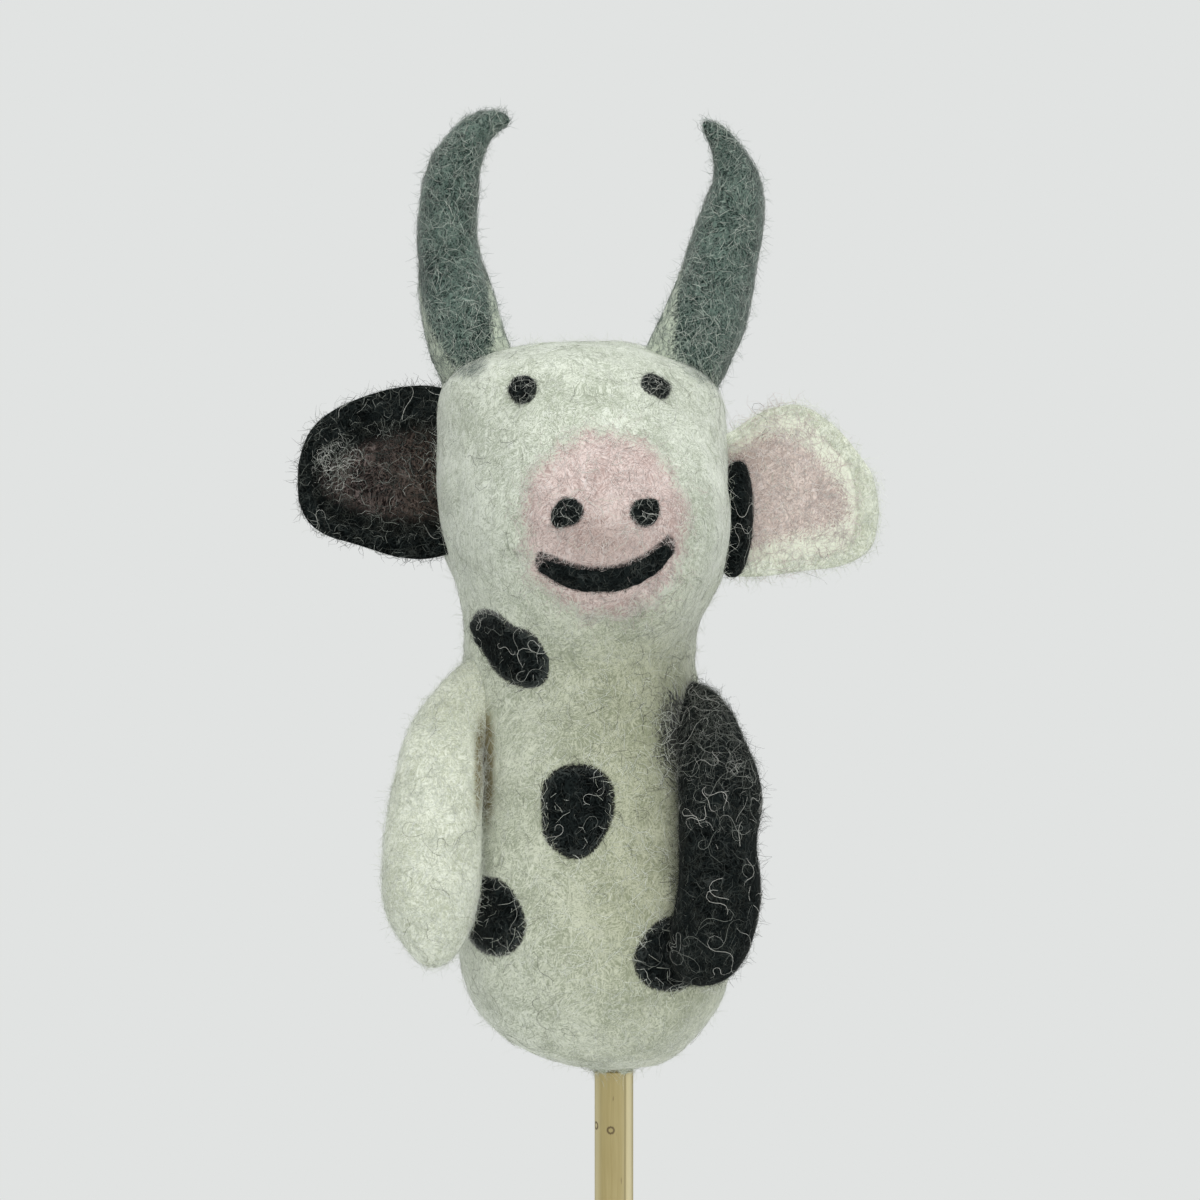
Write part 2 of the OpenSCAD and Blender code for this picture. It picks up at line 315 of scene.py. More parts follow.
def mesh_object(
    name: str,
    points: np.ndarray,
    quads: np.ndarray,
    tris: np.ndarray,
    marks: dict[str, np.ndarray],
) -> bpy.types.Object:
    """A smooth mesh object in metres from whole arrays.

    Args:
        name: The piece's name.
        points: Places in millimetres.
        quads: Four point numbers for each four-sided face.
        tris: Three point numbers for each three-sided face.
        marks: Named values, one for each point.

    Returns:
        The object, linked to the scene.
    """
    mesh = bpy.data.meshes.new(name)
    mesh.vertices.add(len(points))
    mesh.vertices.foreach_set("co", (points * MM).astype(np.float32).ravel())
    loops = np.concatenate([quads.ravel(), tris.ravel()]).astype(np.int32)
    mesh.loops.add(len(loops))
    mesh.loops.foreach_set("vertex_index", loops)
    starts = np.concatenate(
        [np.arange(len(quads)) * 4, len(quads) * 4 + np.arange(len(tris)) * 3]
    ).astype(np.int32)
    mesh.polygons.add(len(starts))
    mesh.polygons.foreach_set("loop_start", starts)
    mesh.update(calc_edges=True)
    mesh.validate()
    mesh.shade_smooth()
    for key, values in marks.items():
        mark = mesh.attributes.new(key, "FLOAT", "POINT")
        mark.data.foreach_set("value", values.astype(np.float32))
    obj = bpy.data.objects.new(name, mesh)
    bpy.context.scene.collection.objects.link(obj)
    return obj


# ---------------------------------------------------------------- shader maths


class Value:
    """A number that changes over a surface; arithmetic on it adds Math nodes."""

    def __init__(self, shader: Shader, socket: bpy.types.NodeSocket) -> None:
        """Wraps an output socket of the shader's tree."""
        self.shader, self.socket = shader, socket

    def _math(self, operation: str, a: Any, b: Any) -> Value:
        """One Math node."""
        node = self.shader.node("ShaderNodeMath", {"operation": operation}, {0: a, 1: b})
        return Value(self.shader, node.outputs[0])

    def __add__(self, other: Value | float) -> Value:
        """self + other."""
        return self._math("ADD", self, other)

    __radd__ = __add__

    def __sub__(self, other: Value | float) -> Value:
        """self - other."""
        return self._math("SUBTRACT", self, other)

    def __rsub__(self, other: float) -> Value:
        """other - self."""
        return self._math("SUBTRACT", other, self)

    def __mul__(self, other: Value | float) -> Value:
        """self * other."""
        return self._math("MULTIPLY", self, other)

    __rmul__ = __mul__

    def __abs__(self) -> Value:
        """The size of self, without its sign."""
        return self._math("ABSOLUTE", self, 0.0)

    def larger(self, other: Value | float) -> Value:
        """The larger of the two."""
        return self._math("MAXIMUM", self, other)

    def rise(self, low: float, high: float) -> Value:
        """A smooth rise from 0 at low to 1 at high, or a fall where low is above high."""
        a, b = (low, high) if low < high else (high, low)
        ends = (0.0, 1.0) if low < high else (1.0, 0.0)
        node = self.shader.node(
            "ShaderNodeMapRange",
            {"interpolation_type": "SMOOTHSTEP"},
            {"Value": self, "From Min": a, "From Max": b, "To Min": ends[0], "To Max": ends[1]},
        )
        return Value(self.shader, node.outputs["Result"])


class Tree:
    """A node tree."""

    def __init__(self, owner: bpy.types.Material | bpy.types.World) -> None:
        """Empties the node tree of a material or a world."""
        owner.use_nodes = True
        self.nodes, self.links = owner.node_tree.nodes, owner.node_tree.links
        self.nodes.clear()

    def node(
        self, kind: str, settings: dict[str, Any], inputs: dict[str | int, Any]
    ) -> bpy.types.Node:
        """Makes any node.

        Args:
            kind: The node's type.
            settings: Properties that are set first.
            inputs: Values or links for its sockets, by name or number.

        Returns:
            The node.
        """
        made = self.nodes.new(kind)
        for key, value in settings.items():
            setattr(made, key, value)
        for key, value in inputs.items():
            self.feed(made.inputs[key], value)
        return made

    def feed(self, socket: bpy.types.NodeSocket, value: Any) -> None:
        """Links or sets one input socket."""
        if isinstance(value, Value):
            value = value.socket
        if isinstance(value, bpy.types.NodeSocket):
            self.links.new(value, socket)
        elif isinstance(value, tuple) and socket.type == "RGBA":
            socket.default_value = (*value, 1.0)
        else:
            socket.default_value = value


class Shader(Tree):
    """One material's node tree around a Principled BSDF."""

    def __init__(self, name: str, constants: dict[str, Any]) -> None:
        """Starts a material.

        Args:
            name: The material's name.
            constants: Principled inputs that are the same all over.
        """
        self.material = bpy.data.materials.new(name)
        super().__init__(self.material)
        self.bsdf = self.node("ShaderNodeBsdfPrincipled", {}, constants)
        self.node("ShaderNodeOutputMaterial", {}, {"Surface": self.bsdf.outputs[0]})

    def places(self, scale: Colour = (1.0, 1.0, 1.0), turn: Colour = (0.0, 0.0, 0.0)) -> Any:
        """The surface's own places in millimetres, stretched and turned."""
        coordinates = self.node("ShaderNodeTexCoord", {}, {}).outputs["Object"]
        stretch = tuple(s / MM for s in scale)
        mapping = self.node(
            "ShaderNodeMapping", {}, {"Vector": coordinates, "Scale": stretch, "Rotation": turn}
        )
        return mapping.outputs["Vector"]

    def noise(self, places: Any, size: float, detail: float = 2.0, bend: float = 0.0) -> Value:
        """Cloudy noise from 0 to 1 with features of a size in millimetres."""
        made = self.node(
            "ShaderNodeTexNoise",
            {},
            {"Vector": places, "Scale": 1.0 / size, "Detail": detail, "Distortion": bend},
        )
        return Value(self, made.outputs["Fac"])

    def strands(self, width: float, stretch: float, turn: Colour, sway: float = 5.0) -> Value:
        """Noise drawn out into wandering strands.

        The places are swayed by slow noise, turned, and squeezed along one way before they are
        read.

        Args:
            width: The width of a strand in millimetres.
            stretch: Its length as a multiple of its width.
            turn: The way it runs.
            sway: How far slow noise bends it, in millimetres.

        Returns:
            Values from 0 to 1.
        """
        places = self.places()
        drift = self.node("ShaderNodeTexNoise", {}, {"Vector": places, "Scale": 0.22})
        swayed = self.node(
            "ShaderNodeVectorMath",
            {"operation": "MULTIPLY_ADD"},
            {0: drift.outputs["Color"], 1: (sway, sway, sway), 2: places},
        )
        drawn = self.node(
            "ShaderNodeMapping",
            {"vector_type": "TEXTURE"},
            {"Vector": swayed.outputs[0], "Rotation": turn, "Scale": (1.0, 1.0, stretch)},
        )
        return self.noise(drawn.outputs["Vector"], width, 1.0)

    def hairs(self, size: float, width: float, turn: Colour) -> Value:
        """Thin curly lines: 1 where cloudy noise is nearly 0.5, and 0 elsewhere."""
        cloud = self.noise(self.places(turn=turn), size, 1.5, 1.4)
        return abs(cloud - 0.5).rise(width, 0.0)

    def mark(self, name: str) -> Value:
        """A named value stored on the mesh."""
        made = self.node(
            "ShaderNodeAttribute", {"attribute_name": name, "attribute_type": "GEOMETRY"}, {}
        )
        return Value(self, made.outputs["Fac"])

    def mix(self, share: Value | float, a: Any, b: Any, how: str = "MIX") -> Any:
        """A colour between a and b, or a multiplied by b."""
        made = self.node(
            "ShaderNodeMix", {"data_type": "RGBA", "blend_type": how}, {0: share, 6: a, 7: b}
        )
        return made.outputs[2]

    def bump(self, height: Value, depth: float) -> None:
        """Feeds the Normal with a bump of a depth in millimetres."""
        made = self.node(
            "ShaderNodeBump", {}, {"Height": height, "Distance": depth * MM, "Strength": 1.0}
        )
        self.feed(self.bsdf.inputs["Normal"], made.outputs["Normal"])


@dataclass(frozen=True)
class Felt:
    """Felted wool: mottled, with curly hairs drawn in its skin and a soft sheen.

    Attributes:
        name: The material's name.
        slot: The record's material slot.
        shade: The colour of the hollows.
        light: The colour of the high places.
        hair: The colour of the hairs in the skin.
        tint: The colour that the surface's `tint` mark brings in.
        warm: The colour that the surface's `warm` mark brings in: painted brown shade in the crease
            by the white arm, grey horn wool on the head, dark fibres on the snout.
        deep: What the surface's `deep` mark multiplies the colour by: partly the wool's own duskier
            tone, partly painted shade under the head, on the chin and at the ears' roots.
        hairiness: How strongly the hairs show.
        sheen: How much light the loose fibres catch.
        gloss: How strong the highlights are.
        contrast: How strongly single strands stand out.
    """

    name: str
    slot: str
    shade: Colour
    light: Colour
    hair: Colour
    tint: Colour = (0.008, 0.010, 0.010)
    # Brown, for painted shade in the crease by the white arm.
    warm: Colour = (0.17, 0.135, 0.035)
    # Multiplies in the duskier tone and the painted shade.
    deep: Colour = (0.68, 0.665, 0.56)
    hairiness: float = 0.35
    sheen: float = 0.7
    gloss: float = 0.1
    contrast: float = 3.6

    def material(self) -> bpy.types.Material:
        """Builds the node material."""
        s = Shader(
            self.name,
            {
                "Roughness": 0.92,
                "Specular IOR Level": self.gloss,
                "Sheen Weight": self.sheen,
                "Sheen Roughness": 0.45,
                "Sheen Tint": (0.93, 0.95, 0.92),
            },
        )
        places = s.places()
        broad = s.noise(places, 6.0, 2.0)
        matting = s.noise(places, 0.9, 3.0, 0.6)
        strands = (
            s.strands(0.20, 18.0, (0.2, 0.3, 0.0))
            .larger(s.strands(0.18, 18.0, (0.9, 1.2, 0.3)))
            .larger(s.strands(0.23, 20.0, (-0.7, 2.2, 0.5)))
        )
        hairs = s.hairs(2.6, 0.020, (0.0, 0.0, 0.0))
        dark_hairs = s.hairs(3.0, 0.016, (1.3, 0.9, 2.1))
        level = (strands - 0.6) * self.contrast + (matting - 0.5) * 0.7 + (broad - 0.5) * 1.3
        colour = s.mix((level + 0.58).rise(0.0, 1.0), self.shade, self.light)
        colour = s.mix(hairs * self.hairiness, colour, self.hair)
        colour = s.mix(dark_hairs * self.hairiness, colour, tuple(c * 0.5 for c in self.shade))
        fray = (strands - 0.6) * 3.0 + (broad - 0.5) * 0.5
        tint = s.mark("tint")
        colour = s.mix((tint + fray * 0.6).rise(0.25, 0.75), colour, self.tint)
        # Painted shade in the crease by the white arm; the head's grey horn wool and the snout's dark
        # fibres are real colour.
        colour = s.mix((s.mark("warm") + fray * 0.5).rise(0.2, 0.9), colour, self.warm)
        # Darkens where the mark says: the wool's duskier tone, and painted shade.
        colour = s.mix(s.mark("deep"), colour, self.deep, "MULTIPLY")
        s.feed(s.bsdf.inputs["Base Color"], colour)
        s.bump(strands * 0.8 + hairs * 0.2 + broad * 0.2, 0.11)
        return s.material


@dataclass(frozen=True)
class Fibre:
    """Loose wool fibres, whose `shade` mark picks a colour from the darkest to the lightest.

    Attributes:
        name: The material's name.
        slot: The record's material slot.
        colours: Pairs of a place on the scale of shades and its colour.
        sheen: How much light it catches at a glance.
    """

    name: str
    slot: str
    colours: tuple[tuple[float, Colour], ...]
    sheen: float = 0.3

    def material(self) -> bpy.types.Material:
        """Builds the node material."""
        s = Shader(
            self.name,
            {
                "Roughness": 0.8,
                "Specular IOR Level": 0.05,
                "Sheen Weight": self.sheen,
                "Sheen Roughness": 0.4,
            },
        )
        colour: Any = self.colours[0][1]
        shade = s.mark("shade")
        for (low, _), (high, after) in itertools.pairwise(self.colours):
            colour = s.mix(shade.rise(low, high), colour, after)
        drift = s.noise(s.places(), 1.4, 1.0)
        colour = s.mix(drift.rise(0.35, 0.7) * 0.2, colour, (0.20, 0.21, 0.18))
        s.feed(s.bsdf.inputs["Base Color"], colour)
        return s.material


@dataclass(frozen=True)
class Bamboo:
    """A round bamboo stick: long fibre streaks, a dark groove, small dark scars and painted
    highlights.
    """

    name: str = "bamboo"
    slot: str = "bamboo"
    pale: Colour = (0.46, 0.38, 0.18)
    honey: Colour = (0.35, 0.275, 0.105)
    scar: Colour = (0.09, 0.055, 0.022)
    scars: tuple[Place, ...] = (
        (-2.3, -1.0, 92.4), (-0.4, -2.4, 92.0), (0.6, 2.4, 61.0), (-2.2, 1.0, 38.0),
    )

    def material(self) -> bpy.types.Material:
        """Builds the node material."""
        s = Shader(self.name, {"Specular IOR Level": 0.35, "Coat Roughness": 0.4})
        streaks = s.noise(s.places((1.0, 1.0, 0.02)), 0.5, 3.0)
        fine = s.noise(s.places((1.0, 1.0, 0.035)), 0.16, 2.0)
        clouds = s.noise(s.places((1.0, 1.0, 0.15)), 3.2, 2.0)
        level = (streaks * 0.5 + fine * 0.35 + clouds * 0.4).rise(0.35, 0.85)
        colour = s.mix(level, self.honey, self.pale)
        groove = s.mark("groove") + (streaks - 0.5) * 0.7
        # Painted highlights: two pale bands down the stick's front sides.
        colour = s.mix(s.mark("bright") * 0.85, colour, (0.80, 0.71, 0.44))
        colour = s.mix(groove.rise(0.45, 0.9) * 0.55, colour, (0.17, 0.13, 0.055))
        flecks = s.noise(s.places((1.0, 1.0, 0.22)), 0.7, 2.0).rise(0.71, 0.76)
        rings: Value | float = flecks * 0.6
        for at in self.scars:
            ends = {0: s.places(), 1: at}
            apart = s.node("ShaderNodeVectorMath", {"operation": "DISTANCE"}, ends)
            ring = abs(Value(s, apart.outputs["Value"]) - 0.42 + (fine - 0.5) * 0.25)
            rings = ring.rise(0.2, 0.04).larger(rings)
        colour = s.mix(rings * 0.85, colour, self.scar)
        s.feed(s.bsdf.inputs["Base Color"], colour)
        s.feed(s.bsdf.inputs["Roughness"], 0.42 + streaks * 0.25)
        s.bump(streaks * 0.5 + fine * 0.5 - rings * 0.6, 0.05)
        return s.material


@functools.cache
def made_once(finish: Felt | Fibre | Bamboo) -> bpy.types.Material:
    """The material of a finish, which all its pieces share."""
    return finish.material()


WHITE = Felt(
    "felted_white", "white_wool", (0.41, 0.45, 0.35), (0.78, 0.82, 0.71), (0.93, 0.96, 0.90)
)
HEAD_WHITE = replace(WHITE, name="felted_head", warm=(0.05, 0.08, 0.068))
CREAM = replace(WHITE, name="felted_cream", shade=(0.54, 0.57, 0.44), light=(0.86, 0.89, 0.77))
BLACK = Felt(
    "felted_black", "black_wool",
    (0.001, 0.0015, 0.0015), (0.012, 0.016, 0.016), (0.07, 0.078, 0.074),
    tint=(0.05, 0.058, 0.055), hairiness=0.5, sheen=0.05, gloss=0.01, contrast=5.0,
)
PINK = Felt(
    "felted_pink", "pink_wool", (0.47, 0.35, 0.32), (0.80, 0.67, 0.63), (0.92, 0.84, 0.82),
    tint=(0.62, 0.66, 0.55), warm=(0.015, 0.016, 0.016), deep=(0.70, 0.67, 0.65), hairiness=0.5,
)
EAR_PINK = replace(
    PINK, name="felted_ear_pink", shade=(0.47, 0.38, 0.34), light=(0.80, 0.68, 0.62),
    tint=(0.84, 0.87, 0.73),
)
DUSKY = Felt(
    "felted_dusky_pink", "pink_wool",
    (0.006, 0.004, 0.004), (0.095, 0.074, 0.067), (0.26, 0.21, 0.20),
    tint=(0.003, 0.004, 0.004), hairiness=0.5, sheen=0.05, gloss=0.01, contrast=5.0,
)
HORN_GREY = Felt(
    "felted_grey", "grey_wool", (0.006, 0.015, 0.013), (0.135, 0.195, 0.165), (0.36, 0.44, 0.38),
    tint=(0.58, 0.64, 0.52), hairiness=0.6, sheen=0.5, gloss=0.02, contrast=6.0,
)
WHITE_FIBRE = Fibre(
    "white_fibre", "white_wool",
    ((0.0, (0.02, 0.02, 0.02)), (0.10, (0.30, 0.31, 0.23)), (0.3, (0.60, 0.64, 0.51)),
     (0.7, (0.86, 0.90, 0.79)), (1.0, (0.96, 0.99, 0.93))),
)
BLACK_FIBRE = Fibre(
    "black_fibre", "black_wool",
    ((0.0, (0.002, 0.003, 0.003)), (0.5, (0.012, 0.016, 0.016)), (0.75, (0.06, 0.07, 0.066)),
     (0.9, (0.30, 0.32, 0.29)), (1.0, (0.90, 0.90, 0.84))),
    0.0,
)
GREY_FIBRE = Fibre(
    "grey_fibre", "grey_wool",
    ((0.0, (0.008, 0.018, 0.015)), (0.4, (0.055, 0.09, 0.075)), (0.75, (0.22, 0.28, 0.245)),
     (1.0, (0.74, 0.79, 0.71))),
)
PINK_FIBRE = Fibre(
    "pink_fibre", "pink_wool",
    ((0.0, (0.34, 0.27, 0.25)), (0.25, (0.68, 0.57, 0.54)), (1.0, (0.95, 0.90, 0.86))),
)


# ---------------------------------------------------------------- dressing


@dataclass(frozen=True)
class Bend:
    """Where soft wool bends between two bodies.

    Attributes:
        bodies: The body that stays and the body that moves.
        start: Where the wool begins to follow the moving body, in millimetres.
        end: Where it follows that body wholly.
    """

    bodies: tuple[Body, Body]
    start: Place
    end: Place

    def carry(self, obj: bpy.types.Object) -> None:
        """Bakes the piece's transform into its mesh; the bend's ends are not used."""
        tuple(v * MM for v in self.start)
        tuple(v * MM for v in self.end)
        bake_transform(obj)


TORSO_BEND = Bend((Body.TORSO, Body.NECK), (-4.4, 0, 145.0), (-4.4, 0, 152.5))
HEAD_BEND = Bend((Body.NECK, Body.HEAD), (-4.4, 1.7, 152.0), (-4.4, -1.8, 162.0))


def dress(
    obj: bpy.types.Object,
    finish: Felt | Fibre | Bamboo,
    carrier: Body | Bend,
    *nodes: str,
    padded: bool = False,
) -> None:
    """Finishes a piece.

    Args:
        obj: The piece.
        finish: Its material.
        carrier: The body or the bend that moves it.
        nodes: The CAD nodes that it stands for.
        padded: True for a soft solid of wool; not used.
    """
    obj.data.materials.append(made_once(finish))
    carrier.carry(obj)
    if nodes:
        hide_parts(*nodes)


# ---------------------------------------------------------------- fibres


@dataclass(frozen=True)
class Curl:
    """How one kind of fibre lies.

    Attributes:
        length: Shortest and longest fibre.
        turn: The most that a fibre turns over its length, in radians.
        wave: How far it swings from side to side, in radians.
        lift: How high its middle stands off the wool.
        stray: How high its free end rises.
        thick: Its radius.
        steps: How many stations its tube has.
    """

    length: tuple[float, float]
    turn: float
    wave: float
    lift: float
    stray: float
    thick: float
    steps: int

    def long(self, shortest: float, longest: float, **changes: Any) -> Curl:
        """The same curl at other lengths, with other changes if they are given."""
        return replace(self, length=(shortest, longest), **changes)


MATTED = Curl(length=(3.0, 8.0), turn=2.8, wave=0.7, lift=0.1, stray=0.25, thick=0.029, steps=6)
FUZZ = Curl(length=(1.5, 4.5), turn=1.4, wave=0.4, lift=0.1, stray=1.9, thick=0.025, steps=4)
FLYAWAY = Curl(length=(3.0, 7.0), turn=2.4, wave=0.6, lift=0.3, stray=1.5, thick=0.026, steps=7)
SPIRAL = Curl(length=(5.0, 13.0), turn=6.0, wave=1.3, lift=0.2, stray=0.3, thick=0.028, steps=16)
SHORT = Curl(length=(1.4, 3.6), turn=2.0, wave=0.5, lift=0.1, stray=0.4, thick=0.034, steps=5)

SIDES = 3


def fibre_tubes(
    points: np.ndarray,
    normals: np.ndarray,
    curl: Curl,
    hold: float,
    flow: np.ndarray | None,
    dice: np.random.Generator,
) -> np.ndarray:
    """The points of many thin three-sided tubes that wander over a surface, a flat side outwards.

    A fibre's heading is a straight turn plus a sine wave, and its path is the running sum of its
    headings in the plane that touches the surface, dropped to follow a ball of curvature `hold`.

    Args:
        points: Where the fibres grow.
        normals: The outward directions there.
        curl: How the fibres lie.
        hold: The curvature they follow, in 1/mm.
        flow: A direction that the fibres tend to start along, or None.
        dice: The source of randomness.

    Returns:
        Fibres x stations x sides x 3, in millimetres.
    """
    n = len(points)
    s = np.linspace(0, 1, curl.steps)[None, :]
    any_way = np.tile(np.array([0.31, 0.22, 0.93]), (n, 1))
    t = unit(np.cross(normals, unit(np.cross(any_way, normals))))
    b = np.cross(normals, t)
    start = dice.uniform(0, 2 * math.pi, (n, 1))
    if flow is not None:
        along = np.arctan2(np.sum(flow * b, -1), np.sum(flow * t, -1))[:, None]
        start = along + dice.normal(0, 0.7, (n, 1))
    turn = dice.uniform(-curl.turn, curl.turn, (n, 1))
    swing = curl.wave * np.sin(
        2 * math.pi * dice.uniform(0.8, 2.0, (n, 1)) * s + dice.uniform(0, 6.3, (n, 1))
    )
    heading = start + turn * (s - 0.5) + swing
    length = dice.uniform(*curl.length, (n, 1))
    x = np.cumsum(np.cos(heading), 1) * length / curl.steps
    y = np.cumsum(np.sin(heading), 1) * length / curl.steps
    x, y = x - x[:, :1] * 0.5 - x[:, -1:] * 0.4, y - y[:, :1] * 0.5 - y[:, -1:] * 0.4
    rise = dice.uniform(0, 1, (n, 1))
    height = (
        curl.lift * np.sin(math.pi * s) * rise
        + curl.stray * rise**2 * s**2
        - 0.10 * (1 - s) ** 4
        - hold * (x * x + y * y) / 2
    )
    line = (
        points[:, None]
        + t[:, None] * x[..., None]
        + b[:, None] * y[..., None]
        + normals[:, None] * height[..., None]
    )
    side = -np.sin(heading)[..., None] * t[:, None] + np.cos(heading)[..., None] * b[:, None]
    width = curl.thick * (0.35 + 0.65 * np.sin(math.pi * np.clip(s + 0.12, 0, 1)) ** 0.5)
    around = 2 * math.pi * (np.arange(SIDES) + 0.25) / SIDES
    return line[:, :, None] + width[..., None, None] * (
        np.cos(around)[None, None, :, None] * side[:, :, None]
        + 0.5 * np.sin(around)[None, None, :, None] * normals[:, None, None]
    )


@dataclass
class Bed:
    """A surface with the fibres that grow on it.

    Attributes:
        surface: Where the fibres grow.
        count: How many are tried.
        curl: How they lie.
        shades: The range of their `shade` marks.
        hold: The curvature that they follow, in 1/mm.
        mask: The share kept at each point, or None for all.
        flow: A direction that they tend to lie along, or None.
    """

    surface: Surface
    count: int
    curl: Curl
    shades: tuple[float, float]
    hold: float = 0.045
    mask: Mask | None = None
    flow: Place | None = None


def wool_coat(
    name: str, beds: list[Bed], finish: Fibre, seed: int, carrier: Body | Bend
) -> None:
    """Makes one piece of many loose fibres.

    Args:
        name: The piece's name.
        beds: The surfaces and the fibres on each.
        finish: The fibres' material.
        seed: What makes this coat's randomness its own.
        carrier: The body or the bend that moves it.
    """
    dice = np.random.default_rng(seed)
    points, quads, tris, shades = [], [], [], []
    start = 0
    for bed in beds:
        roots, normals = bed.surface.scatter(bed.count, dice, bed.mask)
        flow = None if bed.flow is None else np.array(bed.flow)
        made = fibre_tubes(roots, normals, bed.curl, bed.hold, flow, dice)
        count, steps = made.shape[:2]
        i, j = np.arange(steps - 1)[:, None], np.arange(SIDES)[None, :]
        k = (j + 1) % SIDES
        walls = np.stack(
            [i * SIDES + j, i * SIDES + k, (i + 1) * SIDES + k, (i + 1) * SIDES + j], -1
        ).reshape(-1, 4)
        ends = np.array([[2, 1, 0], [(steps - 1) * SIDES + q for q in range(SIDES)]])
        base = (start + np.arange(count) * steps * SIDES)[:, None, None]
        points.append(made.reshape(-1, 3))
        quads.append((base + walls[None]).reshape(-1, 4))
        tris.append((base + ends[None]).reshape(-1, 3))
        shades.append(np.repeat(dice.uniform(*bed.shades, count), steps * SIDES))
        start += count * steps * SIDES
    obj = mesh_object(
        name, np.concatenate(points), np.concatenate(quads), np.concatenate(tris),
        {"shade": np.concatenate(shades)},
    )
    log.info("%s: %d triangles", name, sum(len(q) * 2 for q in quads) + sum(map(len, tris)))
    dress(obj, finish, carrier)


# ---------------------------------------------------------------- the felted body's form


@dataclass(frozen=True)
class BodyForm:
    """Torso, neck and head as one form: a round whose size changes with height, and a muzzle.

    Attributes:
        levels: Rows of height, centre x and half width, from the underside to the crown.
        muzzle: The centre of the muzzle's ball.
        muzzle_r: Its radius.
        merge: How far from both forms the fillet between them reaches.
        noise: The lumps of the felt.
    """

    levels: Spline = Spline(
        (
            (99.8, 0.0, 2.6), (100.4, -0.1, 5.2), (101.7, -0.8, 8.7), (103.4, -1.6, 11.4),
            (105.9, -2.1, 14.1), (108.6, -2.3, 16.0), (112.0, -2.4, 17.3), (116.5, -2.4, 18.1),
            (121.5, -2.4, 18.2), (128.0, -2.5, 17.6), (135.0, -2.9, 16.7), (143.0, -3.7, 15.7),
            (150.0, -4.4, 15.1), (155.3, -4.5, 14.9), (158.5, -4.3, 15.2), (161.5, -4.1, 16.0),
            (165.0, -4.05, 17.2), (170.0, -4.1, 18.4), (176.0, -4.15, 18.9), (181.5, -4.2, 18.8),
            (185.2, -4.3, 18.6), (188.0, -4.5, 17.7), (190.2, -4.5, 15.6), (191.8, -4.4, 12.4),
            (192.8, -4.2, 9.0), (193.4, -4.2, 5.0), (193.5, -4.2, 0.0),
        )
    )
    muzzle: tuple[float, float, float] = (-1.3, -12.2, 169.6)
    muzzle_r: float = 14.6
    merge: float = 7.5
    noise: WoolNoise = WoolNoise()

    def round_at(self, z: np.ndarray) -> tuple[np.ndarray, np.ndarray]:
        """Centre x and half width at heights, read off the densely sampled curve."""
        dense = self.levels.at(np.linspace(0, 1, 1200))
        height = np.maximum.accumulate(dense[:, 0])
        return np.interp(z, height, dense[:, 1]), np.interp(z, height, dense[:, 2])

    def outside(self, p: np.ndarray) -> np.ndarray:
        """About how far points stand outside the form: a smooth minimum of round and muzzle."""
        centre, half = self.round_at(p[..., 2])
        crown = self.levels.knots[-1][0]
        trunk = np.hypot(p[..., 0] - centre, p[..., 1]) - half + np.maximum(0, p[..., 2] - crown)
        ball = np.linalg.norm(p - np.array(self.muzzle), axis=-1) - self.muzzle_r
        h = np.clip(0.5 + 0.5 * (ball - trunk) / self.merge, 0, 1)
        return ball * (1 - h) + trunk * h - self.merge * h * (1 - h)

    def normal(self, p: np.ndarray) -> np.ndarray:
        """Outward directions, from small steps each way along the axes."""
        steps = 0.3 * np.eye(3)
        return unit(np.stack([self.outside(p + d) - self.outside(p - d) for d in steps], axis=-1))

    def cast(self, start: np.ndarray, way: np.ndarray, far: float = 45.0) -> np.ndarray:
        """Where rays from inside leave the form, found by halving the range again and again."""
        low = np.zeros(start.shape[:-1])
        high = np.full(start.shape[:-1], far)
        for _ in range(24):
            middle = (low + high) / 2
            inside = self.outside(start + way * middle[..., None]) < 0
            low, high = np.where(inside, middle, low), np.where(inside, high, middle)
        return start + way * low[..., None]

    def felted(self, p: np.ndarray, lift: np.ndarray | float = 0.0) -> np.ndarray:
        """Points on the form moved out to the lumpy wool, and by a lift as well."""
        out = self.noise.felt(p) + lift
        return p + self.normal(p) * out[..., None]

    def seen_at(self, x: np.ndarray, z: np.ndarray) -> np.ndarray:
        """The place on the form's front that lies at x and z."""
        start = np.stack([x, np.full_like(x, -1.0), z], axis=-1)
        return self.cast(start, np.broadcast_to(FRONT, start.shape))

    def turned_to(self, angle: np.ndarray, z: np.ndarray) -> np.ndarray:
        """The place on the form at an angle from the front, towards +X, and at a height."""
        centre, _ = self.round_at(z)
        start = np.stack([centre, np.zeros_like(z), z], axis=-1)
        way = np.stack([np.sin(angle), -np.cos(angle), np.zeros_like(z)], axis=-1)
        return self.cast(start, way)


FORM = BodyForm()
SOCKET_R = 4.5
TORSO_HIDDEN_FROM = 156.0
HEAD_HIDDEN_BELOW = 152.5


def dusky_tone_and_shade(p: np.ndarray) -> np.ndarray:
    """How far the white wool is darkened: none on the face, full on the chest, less at its right side
    and near the bottom. Part is the chest wool's duskier tone, part is painted shade under the head
    and down the puppet's left side.
    """
    # Painted shade: more on the puppet's left side, less near the bottom.
    side = 0.36 + 0.64 * smoothstep(-17.0, 5.0, p[..., 0])
    low = 1 - 0.35 * smoothstep(122.0, 104.0, p[..., 2])
    return smoothstep(172.0, 149.0, p[..., 2]) * side * low


